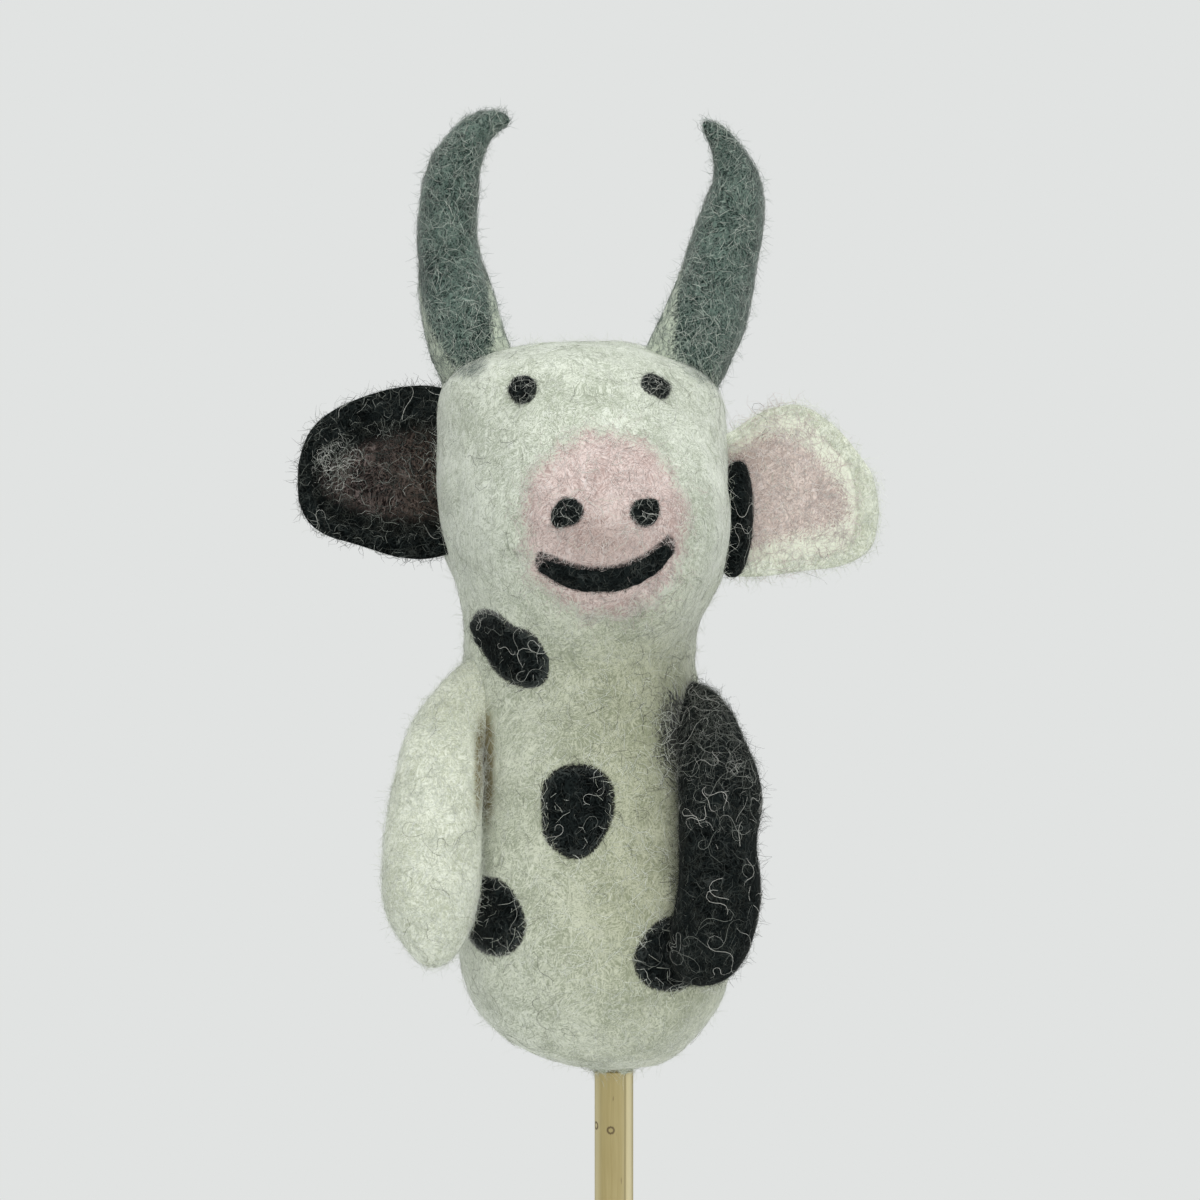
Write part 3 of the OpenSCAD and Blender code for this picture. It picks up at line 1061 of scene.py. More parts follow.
@dataclass(frozen=True)
class Patch:
    """Wool felted into the body: a pad whose rim dives under the skin around it.

    Attributes:
        name: The piece's name.
        node: The CAD node that it stands for.
        at: x and z of its middle seen from the front, or its angle in degrees and z.
        outline: Its radii from the middle.
        from_front: True if `at` is x and z, False if it is an angle and z.
        high: How far its middle stands proud.
        sunk: How far its rim lies under the skin.
        ragged: How uneven its rim is, as a share of its radius.
        over: How far the skin around it stands off the form.
        steep: How suddenly its rim dives; more keeps its top flat further out.
    """

    name: str
    node: str
    at: tuple[float, float]
    outline: Outline
    from_front: bool = True
    high: float = 0.35
    sunk: float = 0.45
    ragged: float = 0.07
    over: float = 0.0
    steep: float = 8.0

    def surface(self, rows: int = 20, cols: int = 64) -> Surface:
        """The pad by radius u and angle: its height falls as a power of u down to its rim."""
        around = ring(cols)[None, :]
        u = np.linspace(0.02, 1, rows)[:, None]
        rim = self.outline.at(around)
        wobble = FORM.noise.at(
            np.stack([rim * np.cos(around), rim * np.sin(around), around * 0 + self.at[1]], -1),
            1.1,
        )
        reach = u * rim * (1 + self.ragged * wobble)
        right, up = reach * np.cos(around), reach * np.sin(around)
        top = self.laid(right, up)
        height = self.over + self.high - (self.high + self.sunk) * u**self.steep + 0 * around
        upper = FORM.felted(top, height)
        lower = FORM.felted(top, -self.sunk - 0.25 * round_off(u, 2) + 0 * around)[::-1]
        edge = np.concatenate([u + 0 * around, np.ones_like(u + 0 * around)])
        return Surface.closed(np.concatenate([upper, lower]), tint=smoothstep(0.55, 1.15, edge))

    def felt_in(self, carrier: Body | Bend, rows: int = 20, cols: int = 64) -> Surface:
        """Makes the patch in black wool, and returns its surface for the fibres."""
        pad = self.surface(rows, cols)
        dress(pad.mesh(self.name), BLACK, carrier, self.node)
        return pad

    def shadow(self, p: np.ndarray, soft: float = 0.26) -> np.ndarray:
        """How near points on the form are: 1 within the patch, 0 a little outside its rim."""
        up = p[..., 2] - self.at[1]
        if self.from_front:
            right, facing = p[..., 0] - self.at[0], p[..., 1] < 0
        else:
            centre, half = FORM.round_at(np.array(self.at[1]))
            angle = wrapped(np.arctan2(p[..., 0] - centre, -p[..., 1]) - math.radians(self.at[0]))
            right, facing = angle * half, abs(angle) < 1.2
        reach = np.hypot(right, up) / self.outline.at(np.arctan2(up, right))
        return smoothstep(0.95 + soft, 0.95 - soft / 2, reach) * facing

    def laid(self, right: np.ndarray, up: np.ndarray) -> np.ndarray:
        """Places on the form at distances right of and above the patch's middle."""
        if self.from_front:
            return FORM.seen_at(self.at[0] + right, self.at[1] + up)
        z = self.at[1] + up
        _, half = FORM.round_at(np.array(self.at[1]))
        return FORM.turned_to(math.radians(self.at[0]) + right / half, z)


NECK_SPOT = Patch(
    "neck_spot", "spot_neck", (-12.9, 154.2), Outline((4.2, 3.4, 3.3, 6.8, 4.0, 3.6, 4.4, 5.9)),
    high=0.5, over=0.2,
)


def shadows(patches: list[Patch], p: np.ndarray, soft: float = 0.26) -> np.ndarray:
    """The nearest patch's shadow at each point."""
    return np.max([patch.shadow(p, soft) for patch in patches], axis=0)


# ---------------------------------------------------------------- limbs


@dataclass(frozen=True)
class Limb:
    """A felted limb along a curve: rings across it, rounded off at the tip.

    Attributes:
        knots: Places and half widths from the root, which is in the body, to the tip.
        blunt: Where along the curve the tip begins to round off.
        flat: Its depth as a share of its width.
        lumps: How lumpy it is.
        power: How square the tip is.
    """

    knots: tuple[tuple[float, ...], ...]
    blunt: float
    flat: float
    lumps: float = 0.8
    power: float = 2.3

    def surface(self, rows: int = 90, cols: int = 56) -> Surface:
        """Rings: place + width (cos a sideways + flat sin a in depth), moved out by the lumps."""
        t = np.sin(np.linspace(0, math.pi / 2, rows))
        line = Spline(self.knots).at(t)
        place, width = line[:, :3], line[:, 3]
        width = width * round_off(np.maximum(0, (t - self.blunt) / (1 - self.blunt)), self.power)
        width = np.maximum(width, 0.05)
        heading = np.gradient(place, axis=0)
        heading[:, 1] = 0
        heading = unit(heading)
        sideways = np.stack([heading[:, 2], 0 * t, -heading[:, 0]], -1)
        a = ring(cols)
        out = (
            np.cos(a)[None, :, None] * sideways[:, None]
            + self.flat * np.sin(a)[None, :, None] * np.array([0.0, 1.0, 0.0])
        )
        grid = place[:, None] + width[:, None, None] * out
        fade = np.minimum(1, width / width.max() * 1.6)[:, None]
        grid = grid + out * (FORM.noise.felt(grid, self.lumps) * fade)[..., None]
        return Surface.closed(grid, along=np.repeat(t[:, None], cols, 1))


# ---------------------------------------------------------------- pieces


@dataclass
class Stick:
    """The bamboo stick, with the faint swellings and the groove of split bamboo."""

    radius: float = 2.5
    tenon: float = 2.1
    step_z: float = 99.4

    def build(self) -> None:
        """Rings up the stick: a radius by height, a shallow groove and long ripples."""
        z = np.concatenate(
            [[0.0, 0.06, 0.2], np.arange(0.8, 99.2, 1.6), [99.3, 99.4, 99.42],
             np.linspace(100, 139, 20), [141.5, 144.0]]
        )
        a = ring(80)
        r = np.where(z <= self.step_z, self.radius, self.tenon)
        r = np.where(z > 139, 0.8 + (self.tenon - 0.8) * (144 - z) / 5, r)
        r = r - 0.22 * (1 - smoothstep(0.0, 0.25, z))
        groove = np.exp(-((wrapped(a - math.radians(-54)) / 0.10) ** 2))
        ripple = 0.012 * np.cos(11 * a) + 0.008 * np.cos(17 * a + 1)
        rr = r[:, None] + ripple[None] - 0.05 * groove[None]
        grid = np.stack([rr * np.cos(a), rr * np.sin(a), np.repeat(z[:, None], len(a), 1)], -1)
        # Painted highlights: pale bands at the front, one to each side.
        bright = np.exp(-((wrapped(a + math.radians(36)) / 0.36) ** 2))
        bright = bright + 0.7 * np.exp(-((wrapped(a - math.radians(205)) / 0.3) ** 2))
        marks = {
            "groove": np.repeat(groove[None], len(z), 0),
            "bright": np.repeat(bright[None], len(z), 0),
        }
        surface = Surface(grid, (np.array([0, 0, z[0]]), np.array([0, 0, z[-1]])), marks)
        dress(surface.mesh("bamboo_stick"), Bamboo(), Body.STICK, "stick")
        log.info("bamboo stick built")


@dataclass
class Torso:
    """The torso with its felted-in spots, the collar of loose wool and the coat of fibres."""

    spots: tuple[Patch, ...] = (
        Patch("chest_spot", "spot_chest", (-4.6, 134.2),
              Outline((4.7, 5.7, 6.0, 5.7, 4.7, 5.6, 6.2, 4.8))),
        Patch("hip_spot_right", "spot_hip_right", (-14.7, 120.3),
              Outline((3.7, 3.8, 5.2, 6.0, 5.2, 5.0, 4.8, 4.2))),
        Patch("hip_spot_left", "spot_hip_left", (6.6, 115.8),
              Outline((5.6, 6.2, 5.2, 4.2, 4.3, 4.5, 4.6, 5.2))),
        Patch("back_spot_high", "spot_back_high", (152, 138),
              Outline((6.6, 6.0, 5.2, 6.4, 6.9, 5.2, 5.6, 6.5)), False),
        Patch("back_spot_low", "spot_back_low", (205, 118),
              Outline((7.2, 8.2, 8.6, 7.0, 7.4, 8.0, 8.4, 6.6)), False),
    )

    def black(self) -> list[Patch]:
        """The black patches that show on the torso."""
        return [*self.spots, NECK_SPOT]

    @staticmethod
    def outside(p: np.ndarray) -> np.ndarray:
        """1 where the skin is seen: clear of the stick's socket and below the tucked rim."""
        clear = np.hypot(p[:, 0], p[:, 1]) > SOCKET_R
        return (clear & (p[:, 2] < TORSO_HIDDEN_FROM)) * 1.0

    def white(self, p: np.ndarray) -> np.ndarray:
        """The white wool, thinner where the black patches are."""
        return self.outside(p) * (1 - 0.85 * shadows(self.black(), p, 0.1))

    def smudged(self, p: np.ndarray) -> np.ndarray:
        """The grey wool at the black arm's shoulder and along the arm's inner edge."""
        x, z = p[:, 0], p[:, 2]
        shoulder = blot(x, z, (7.4, 143.5), (3.4, 7.5))
        edge = np.exp(-(((x - 7.4) / 1.1) ** 2)) * smoothstep(113, 118, z) * smoothstep(150, 144, z)
        return self.outside(p) * (p[:, 1] < -3) * np.maximum(shoulder, 0.6 * edge)

    def spilled(self, p: np.ndarray) -> np.ndarray:
        """Where black fibres stray over the white around the spots."""
        return self.outside(p) * shadows(self.black(), p, 0.24)

    def hairy(self, p: np.ndarray) -> np.ndarray:
        """Where fine dark hairs are common: the chest, and most of all under the left cheek."""
        cheek = blot(p[:, 0], p[:, 2], (6, 151), (6, 6)) * (p[:, 1] < 0)
        return self.outside(p) * (0.35 * smoothstep(120, 146, p[:, 2]) + 0.65 * cheek)

    def skin(self) -> Surface:
        """The outer profile by its own length, turned round; inside, the stick's socket."""
        dense = FORM.levels.at(np.linspace(0, 1, 1500))
        dense = dense[dense[:, 0] < 158.2]
        run = np.append(0, np.cumsum(np.hypot(np.diff(dense[:, 0]), np.diff(dense[:, 2]))))
        s = np.linspace(0, run[-1], int(run[-1] / 0.45))
        z, centre, half = (np.interp(s, run, dense[:, c]) for c in range(3))
        a = ring(256)[None, :]
        p = np.stack(
            [centre[:, None] + half[:, None] * np.cos(a), half[:, None] * np.sin(a),
             z[:, None] + 0 * a], -1
        )
        for _ in range(3):
            near = (p[..., 2] > 140)[..., None]
            p = p - near * FORM.normal(p) * FORM.outside(p)[..., None]
        tuck = -0.6 * smoothstep(153.5, 156.5, p[..., 2])
        calm = smoothstep(2.6, 5.0, half)[:, None]
        out = FORM.noise.felt(p) * calm + tuck
        p = p + FORM.normal(p) * out[..., None]
        socket_z = np.array([143.6, 138.0, 120.0, 104.0, 100.6])[:, None]
        socket = np.stack(
            [2.2 * np.cos(a) + 0 * socket_z, 2.2 * np.sin(a) + 0 * socket_z, socket_z + 0 * a], -1
        )
        inner = np.stack(
            [centre[-1] + (half[-1] - 4) * np.cos(a), (half[-1] - 4) * np.sin(a),
             np.full_like(a, z[-1] - 2)], -1
        )
        grid = np.concatenate([socket, p, inner])
        x, y, height = grid[..., 0], grid[..., 1], grid[..., 2]
        smudge = 0.93 * blot(x, height, (8.4, 143.5), (3.9, 7.5)) * (y < -4)
        # Painted shade: a brown band in the crease where the white arm meets the torso.
        crease = blot(x, height, (-16.2, 139.5), (1.2, 8.0), 4) * (y < -3)
        return Surface(
            grid,
            (np.array([0, 0, 143.7]), np.array([centre[-1], 0, z[-1] - 2])),
            {
                "tint": np.maximum(smudge, shadows(self.black(), grid, 0.12)),
                "warm": crease,
                "deep": dusky_tone_and_shade(grid),
            },
        )

    def build(self) -> None:
        """Makes the skin, the spots and the fibres."""
        skin = self.skin()
        dress(skin.mesh("torso_felt"), WHITE, TORSO_BEND, "torso_skin", "torso_core", padded=True)
        pads = [patch.felt_in(Body.TORSO) for patch in self.spots]
        for name, seed, beds in (
            ("torso_fibres", 11, [
                Bed(skin, 3900, MATTED, (0.15, 1.0), mask=self.white),
                Bed(skin, 500, MATTED.long(6, 13, steps=8), (0.3, 1.0), mask=self.outside),
            ]),
            ("torso_hairs", 14, [
                Bed(skin, 3600, FUZZ, (0.45, 1.0), mask=self.outside),
                Bed(skin, 500, FLYAWAY, (0.2, 1.0), mask=self.outside),
                Bed(skin, 2600, replace(MATTED, thick=0.024), (0.0, 0.12), mask=self.hairy),
                Bed(skin, 80, SPIRAL, (0.0, 0.1), mask=self.outside),
            ]),
            ("torso_smudge", 15, [
                Bed(skin, 8000, SHORT, (0.0, 0.08), mask=self.spilled),
                Bed(skin, 10000, SHORT.long(2, 5), (0.0, 0.1), mask=self.smudged),
            ]),
        ):
            wool_coat(name, beds, WHITE_FIBRE, seed, TORSO_BEND)
        wool_coat(
            "torso_spot_fibres",
            [Bed(pad, 330, SHORT, (0.0, 0.72)) for pad in pads]
            + [Bed(pad, 15, replace(SPIRAL, thick=0.022), (0.84, 1.0)) for pad in pads],
            BLACK_FIBRE, 12, Body.TORSO,
        )
        log.info("torso built with %d spots", len(pads))
        self.collar()

    def collar(self) -> None:
        """The tuft: a thin skirt of wool on the stick, with fibres that hang from it."""
        t, a = np.linspace(0, 1, 14)[:, None], ring(60)[None, :]
        z = 100.4 - 0.8 * t
        r = 2.60 + 1.5 * (1 - t) ** 2
        r = r + 0.16 * np.sin(5 * a + 1) * (1 - t) + 0.05 * np.sin(9 * a) * t
        z = z + 0.3 * np.sin(4 * a + 2) * t + 0.2 * np.sin(7 * a) * t
        outer = np.stack([r * np.cos(a), r * np.sin(a), z + 0 * a], -1)
        inner = np.stack([2.53 * np.cos(a) + 0 * t, 2.53 * np.sin(a) + 0 * t, z + 0 * a], -1)
        grid = np.concatenate([outer, inner[::-1]])
        surface = Surface.closed(grid, deep=0 * grid[..., 0] + 0.9)
        dress(surface.mesh("stick_collar"), WHITE, Body.TUFT, "stick_tuft")
        wool_coat(
            "stick_collar_fibres",
            [Bed(surface, 600, MATTED.long(1.5, 7.0), (0.15, 0.9), 0.3,
                 lambda p: (np.hypot(p[:, 0], p[:, 1]) > 2.56) * 1.0, (0, 0, -1))],
            WHITE_FIBRE, 13, Body.TUFT,
        )


@dataclass
class Head:
    """The head: skin, snout, nostrils, smile, eyes and spots, with their fibres."""

    middle: Place = (-4.1, -2.5, 174.0)
    low: float = 150.8
    smile_x: float = -1.15
    smile_half: float = 7.5
    snout: Patch = Patch(
        "snout", "snout_patch", (-1.3, 170.2),
        Outline((11.4, 12.0, 12.8, 12.2, 11.4, 12.6, 13.2, 12.6)), high=0.12, sunk=0.25,
        over=0.22, steep=12.0,
    )
    dots: tuple[Patch, ...] = (
        Patch("nostril_pad_right", "nostril_right", (-5.7, 171.2),
              Outline((2.1, 1.95, 1.9, 1.85, 2.0, 2.5, 1.9, 1.9)), high=0.9, ragged=0.18),
        Patch("nostril_pad_left", "nostril_left", (3.7, 171.2),
              Outline((1.8, 2.1, 1.8, 1.9, 2.0, 1.9, 1.9, 1.75)), high=0.9, ragged=0.18),
        Patch("eye_pad_right", "eye_right", (-11.4, 186.7),
              Outline((1.8, 1.85, 1.8, 1.75, 1.75, 1.85, 1.9, 1.8)), high=0.9, ragged=0.14),
        Patch("eye_pad_left", "eye_left", (5.1, 187.3),
              Outline((1.9, 1.3, 1.5, 1.9, 1.8, 1.4, 1.3, 2.1)), high=0.9, ragged=0.14),
    )
    nape: Patch = Patch(
        "nape_spot", "spot_nape", (168, 178),
        Outline((8.2, 7.4, 7, 8, 8.4, 7, 6.6, 7.6)), False, over=0.22,
    )

    def black(self) -> list[Patch]:
        """The black patches that show on the head."""
        return [*self.dots, NECK_SPOT, self.nape]

    def shown(self, p: np.ndarray) -> np.ndarray:
        """The white wool: above the tucked rim, thinner over the snout and the black patches."""
        over_snout = (np.hypot(p[:, 0] + 1.3, p[:, 2] - 170.2) < 10.5) * (p[:, 1] < -12)
        black = shadows(self.black(), p, 0.1)
        return (p[:, 2] > HEAD_HIDDEN_BELOW) * (1 - 0.75 * over_snout) * (1 - 0.85 * black)

    def spilled(self, p: np.ndarray) -> np.ndarray:
        """Where black fibres stray over the white around the patches."""
        return (p[:, 2] > HEAD_HIDDEN_BELOW) * shadows(self.black(), p, 0.24)

    def hairy(self, p: np.ndarray) -> np.ndarray:
        """Where fine dark hairs are common: below the cheeks, and most of all the left one."""
        cheek = blot(p[:, 0], p[:, 2], (7, 157), (7, 5)) * (p[:, 1] < 0)
        return self.shown(p) * (0.2 + 0.8 * cheek)

    def by_horns(self, p: np.ndarray) -> np.ndarray:
        """Where the horns' grey fibres run over the head."""
        return self.near_horns(p) * (p[:, 2] > 180)

    def skin(self) -> Surface:
        """Rays from the head's middle: up to the crown by elevation, then level by height."""
        a = ring(264)[None, :]
        tilt = np.linspace(math.pi / 2 - 0.012, 0, 70)[:, None]
        x, y, z = self.middle
        up_way = np.stack(
            [np.cos(tilt) * np.cos(a), np.cos(tilt) * np.sin(a), np.sin(tilt) + 0 * a], -1
        )
        up_start = np.broadcast_to(np.array(self.middle), up_way.shape)
        drop = np.linspace(z, self.low, 60)[1:, None]
        level = np.stack([np.cos(a) + 0 * drop, np.sin(a) + 0 * drop, 0 * a + 0 * drop], -1)
        back = y * smoothstep(154, z, drop)
        down_start = np.stack([x + 0 * a + 0 * drop, back + 0 * a, drop + 0 * a], -1)
        p = FORM.cast(np.concatenate([up_start, down_start]), np.concatenate([up_way, level]))
        lift = 0.22 - 0.9 * (1 - smoothstep(151.0, 154.2, p[..., 2]))
        p = FORM.felted(p, lift)
        rim = p[-1:]
        middle = np.array([x, 0.0, self.low])
        close = [middle + (rim - middle) * share for share in (0.9, 0.6, 0.25)]
        grid = np.concatenate([p, *close])
        return Surface(
            grid, (grid[0].mean(0), middle),
            {
                "deep": dusky_tone_and_shade(grid),
                "tint": shadows(self.black(), grid, 0.14),
                "warm": 0.7 * self.near_horns(grid),
            },
        )

    @staticmethod
    def near_horns(p: np.ndarray) -> np.ndarray:
        """How much of the horns' grey wool runs over the head around their roots."""
        right = np.hypot((p[..., 0] + 18.6) / 3.4, (p[..., 2] - 190.6) / 3.0)
        left = np.hypot((p[..., 0] - 11.8) / 3.8, (p[..., 2] - 190.6) / 3.4)
        return smoothstep(1.25, 0.3, np.minimum(right, left))

    @staticmethod
    def smile_height(s: np.ndarray) -> np.ndarray:
        """The height of the smile's line, where s runs from -1 at one end to 1 at the other."""
        return 163.0 + 3.0 * s * s + 0.55 * s + 0.45 * s**3

    @staticmethod
    def smile_width(s: np.ndarray) -> np.ndarray:
        """Half the width of the smile's bar, which shrinks to its ends."""
        return 1.28 * (1 - 0.36 * s * s)

    def smile_shadow(self, p: np.ndarray) -> np.ndarray:
        """How near points on the snout are to the smile's line."""
        x = p[..., 0] - self.smile_x
        s = np.clip(x / self.smile_half, -1.02, 1.02)
        rise = (p[..., 2] - self.smile_height(s)) * (1 - 0.3 * s * s)
        away = np.hypot(x - self.smile_half * s, rise)
        return smoothstep(1.6, 1.0, away / self.smile_width(s))

    def smile(self) -> Surface:
        """A bent bar: its line is a parabola, its width shrinks to the ends, its top is round."""
        s = np.sin(np.linspace(-math.pi / 2, math.pi / 2, 90))[:, None]
        a = ring(28)[None, :]
        x0, z0 = self.smile_x + self.smile_half * s, self.smile_height(s)
        slope = (6.0 * s + 0.55) / self.smile_half
        half = self.smile_width(s) * round_off(abs(s), 7) + 0.02
        side = half * np.cos(a)
        x = x0 - side * slope / np.hypot(1, slope)
        z = z0 + side / np.hypot(1, slope)
        edge = FORM.noise.at(np.stack([x, z, 0 * x], -1), 0.9) * 0.12
        p = FORM.seen_at(x, z + edge * np.cos(a))
        height = 0.65 + 0.5 * np.sin(a) + 0 * s
        return Surface.closed(FORM.felted(p, height * np.minimum(1, half * 1.4)))

    def cheek(self) -> Surface:
        """A thin upright lens of black wool in the crease between head and ear."""
        t = np.linspace(0.02, math.pi - 0.02, 60)[:, None]
        a = ring(60)[None, :]
        x = 15.6 + 2.3 * np.sin(t) ** 0.8 * np.cos(a)
        y = -4.2 + 3.4 * np.sin(t) ** 0.8 * np.sin(a)
        z = 171.0 - 7.4 * np.cos(t) + 0 * a
        grid = np.stack([x + 0.05 * (z - 171), y, z], -1)
        out = unit(grid - np.array([15.3, -4.2, 171.0]))
        return Surface.closed(grid + out * FORM.noise.felt(grid, 0.6)[..., None])

    def build(self) -> None:
        """Makes every piece of the head and its fibres."""
        skin = self.skin()
        dress(skin.mesh("head_felt"), HEAD_WHITE, HEAD_BEND, "head_skin", "head_core", "neck_core",
              padded=True)
        snout = self.snout_surface()
        dress(snout.mesh(self.snout.name), PINK, Body.HEAD, self.snout.node)
        dots = [patch.felt_in(Body.HEAD, 20, 48) for patch in self.dots]
        smile, cheek = self.smile(), self.cheek()
        dress(smile.mesh("smile"), BLACK, Body.HEAD, "mouth")
        dress(cheek.mesh("cheek_spot"), BLACK, Body.HEAD, "spot_cheek")
        nape = self.nape.felt_in(Body.HEAD)
        neck = NECK_SPOT.felt_in(HEAD_BEND)
        self.white_fibres(skin)
        wool_coat(
            "snout_fibres",
            [Bed(snout, 2900, MATTED.long(2.0, 6.0), (0.05, 1.0), 0.06),
             Bed(snout, 300, FUZZ, (0.3, 1.0), 0.06)],
            PINK_FIBRE, 22, Body.HEAD,
        )
        wool_coat(
            "head_spot_fibres",
            [Bed(pad, 170, SHORT.long(1.0, 2.6, stray=0.3), (0.0, 0.86)) for pad in dots]
            + [Bed(pad, 70, SHORT.long(1.5, 4.0, thick=0.032), (0.84, 1.0)) for pad in dots]
            + [Bed(dots[-1], 110, SHORT.long(1.0, 3.0), (0.84, 1.0))]
            + [Bed(smile, 420, SHORT.long(1.0, 2.8, stray=0.3), (0.0, 0.8))]
            + [Bed(pad, 330, SHORT, (0.0, 0.72)) for pad in (cheek, nape)]
            + [Bed(pad, 12, SPIRAL, (0.88, 1.0)) for pad in (cheek, nape)],
            BLACK_FIBRE, 23, Body.HEAD,
        )
        wool_coat(
            "neck_spot_fibres",
            [Bed(neck, 330, SHORT, (0.0, 0.72)), Bed(neck, 34, SPIRAL, (0.88, 1.0))],
            BLACK_FIBRE, 24, HEAD_BEND,
        )
        log.info("head built")

    def snout_surface(self) -> Surface:
        """The snout, pale at its rim, black under its dots, dusky between nose and smile, with
        painted shade on its chin.
        """
        rows, cols = 44, 120
        snout = self.snout.surface(rows, cols)
        fade = smoothstep(0.6, 1.05, np.linspace(0, 1, rows))[:, None] + np.zeros((rows, cols))
        snout.marks["tint"] = np.concatenate([fade, np.ones((rows, cols))])
        snout.marks["warm"] = 0.8 * np.maximum(
            shadows(list(self.dots), snout.grid, 0.2), self.smile_shadow(snout.grid)
        )
        x, z = snout.grid[..., 0], snout.grid[..., 2]
        # Darker between nose and smile, and painted shade below the smile, on the chin.
        snout.marks["deep"] = np.maximum(
            blot(x, z, (-1.2, 167.5), (6.5, 3.8)), 0.6 * smoothstep(163.0, 157.0, z)
        )
        return snout

    def white_fibres(self, skin: Surface) -> None:
        """The coats of the skin: grey around the horns, and white."""
        wool_coat(
            "horn_root_fibres",
            [Bed(skin, 12000, MATTED.long(2, 6), (0.1, 0.95), 0.09, self.by_horns, (0, 0, 1))],
            GREY_FIBRE, 25, HEAD_BEND,
        )
        for name, seed, beds in (
            ("head_fibres", 21, [
                Bed(skin, 3900, MATTED, (0.25, 1.0), mask=self.shown),
                Bed(skin, 500, MATTED.long(6, 13, steps=8), (0.4, 1.0), mask=self.shown),
            ]),
            ("head_hairs", 26, [
                Bed(skin, 3200, FUZZ, (0.5, 1.0), mask=self.shown),
                Bed(skin, 500, FLYAWAY, (0.3, 1.0), mask=self.shown),
                Bed(skin, 2600, replace(MATTED, thick=0.024), (0.0, 0.12), mask=self.hairy),
                Bed(skin, 50, SPIRAL, (0.0, 0.12), mask=self.shown),
                Bed(skin, 6000, SHORT, (0.0, 0.08), mask=self.spilled),
            ]),
        ):
            wool_coat(name, beds, WHITE_FIBRE, seed, HEAD_BEND)


@dataclass
class Horn:
    """A tapering felted horn whose root fades into the white of the head.

    Attributes:
        name: The CAD node that it stands for.
        limb: Its form.
        body: The body that it rides on.
        seed: What makes its fibres its own.
        both: True if white climbs both of its sides, False for the right side alone.
    """

    name: str
    limb: Limb
    body: Body
    seed: int
    both: bool

    def build(self) -> None:
        """Makes the horn and its fibres; its root, near the pivot, stays inside the head."""
        surface = self.limb.surface()
        t = surface.marks["along"]
        side = np.cos(ring(t.shape[1]))[None, :]
        edge = abs(side) ** 3 if self.both else np.maximum(0, -side) ** 2
        surface.marks["tint"] = smoothstep(-0.05, 0.13, 0.15 + 0.24 * edge - t)
        dress(surface.mesh(f"{self.name}_felt"), HORN_GREY, self.body, self.name, padded=True)
        root_z, tip_z = self.limb.knots[1][2], self.limb.knots[-1][2]
        wool_coat(
            f"{self.name}_fibres",
            [
                Bed(surface, 3400, MATTED.long(2, 6), (0.15, 1.0), 0.11, None, (0, 0, 1)),
                Bed(surface, 2300, FUZZ, (0.6, 1.0), 0.11),
                Bed(surface, 600, MATTED.long(3, 8), (0.85, 1.0), 0.11,
                    by_height(root_z + 9, root_z), (0, 0, 1)),
            ],
            GREY_FIBRE, self.seed, self.body,
        )
        log.info("%s built, %.0f mm high", self.name, tip_z - root_z)


@dataclass
class Arm:
    """A felted arm that hangs from its shoulder.

    Attributes:
        name: The CAD node that it stands for.
        limb: Its form.
        body: The body that it swings with.
        dark: True for the black arm.
        seed: What makes its fibres its own.
    """

    name: str
    limb: Limb
    body: Body
    dark: bool
    seed: int

    def build(self) -> None:
        """Makes the arm and its fibres."""
        surface = self.limb.surface(100, 64)
        knots = self.limb.knots
        bend = Bend((Body.TORSO, self.body), knots[0][:3], knots[2][:3])
        if self.dark:
            felt, fibre, beds = BLACK, BLACK_FIBRE, [
                Bed(surface, 3000, MATTED.long(2, 6, thick=0.026), (0.1, 0.86), 0.1, None,
                    (0, 0, 1)),
                Bed(surface, 2400, FUZZ, (0.0, 0.8), 0.1),
                Bed(surface, 130, SPIRAL, (0.88, 1.0), 0.1),
                Bed(surface, 3200, MATTED.long(3, 8, thick=0.022), (0.8, 0.96), 0.1,
                    by_height(133.0, 148.0)),
            ]
        else:
            x, z = surface.grid[..., 0], surface.grid[..., 2]
            # Painted shade: the same brown band, on the arm's side of that crease.
            surface.marks["warm"] = 0.9 * blot(x, z, (-17.0, 139.5), (0.8, 7.0), 4)
            # The chest's duskier tone and painted shade, carried onto the arm's root and gone by four
            # tenths of its length.
            surface.marks["deep"] = dusky_tone_and_shade(surface.grid) * smoothstep(
                0.4, 0.05, surface.marks["along"]
            )
            felt, fibre, beds = CREAM, WHITE_FIBRE, [
                Bed(surface, 2500, replace(MATTED, thick=0.026), (0.4, 1.0), 0.1),
                Bed(surface, 2300, FUZZ, (0.5, 1.0), 0.1),
                Bed(surface, 60, FLYAWAY, (0.0, 0.3), 0.1),
                Bed(surface, 16, SPIRAL, (0.0, 0.12), 0.1),
            ]
        dress(surface.mesh(f"{self.name}_felt"), felt, bend, self.name, padded=True)
        wool_coat(f"{self.name}_fibres", beds, fibre, self.seed, bend)
        log.info("%s built", self.name)


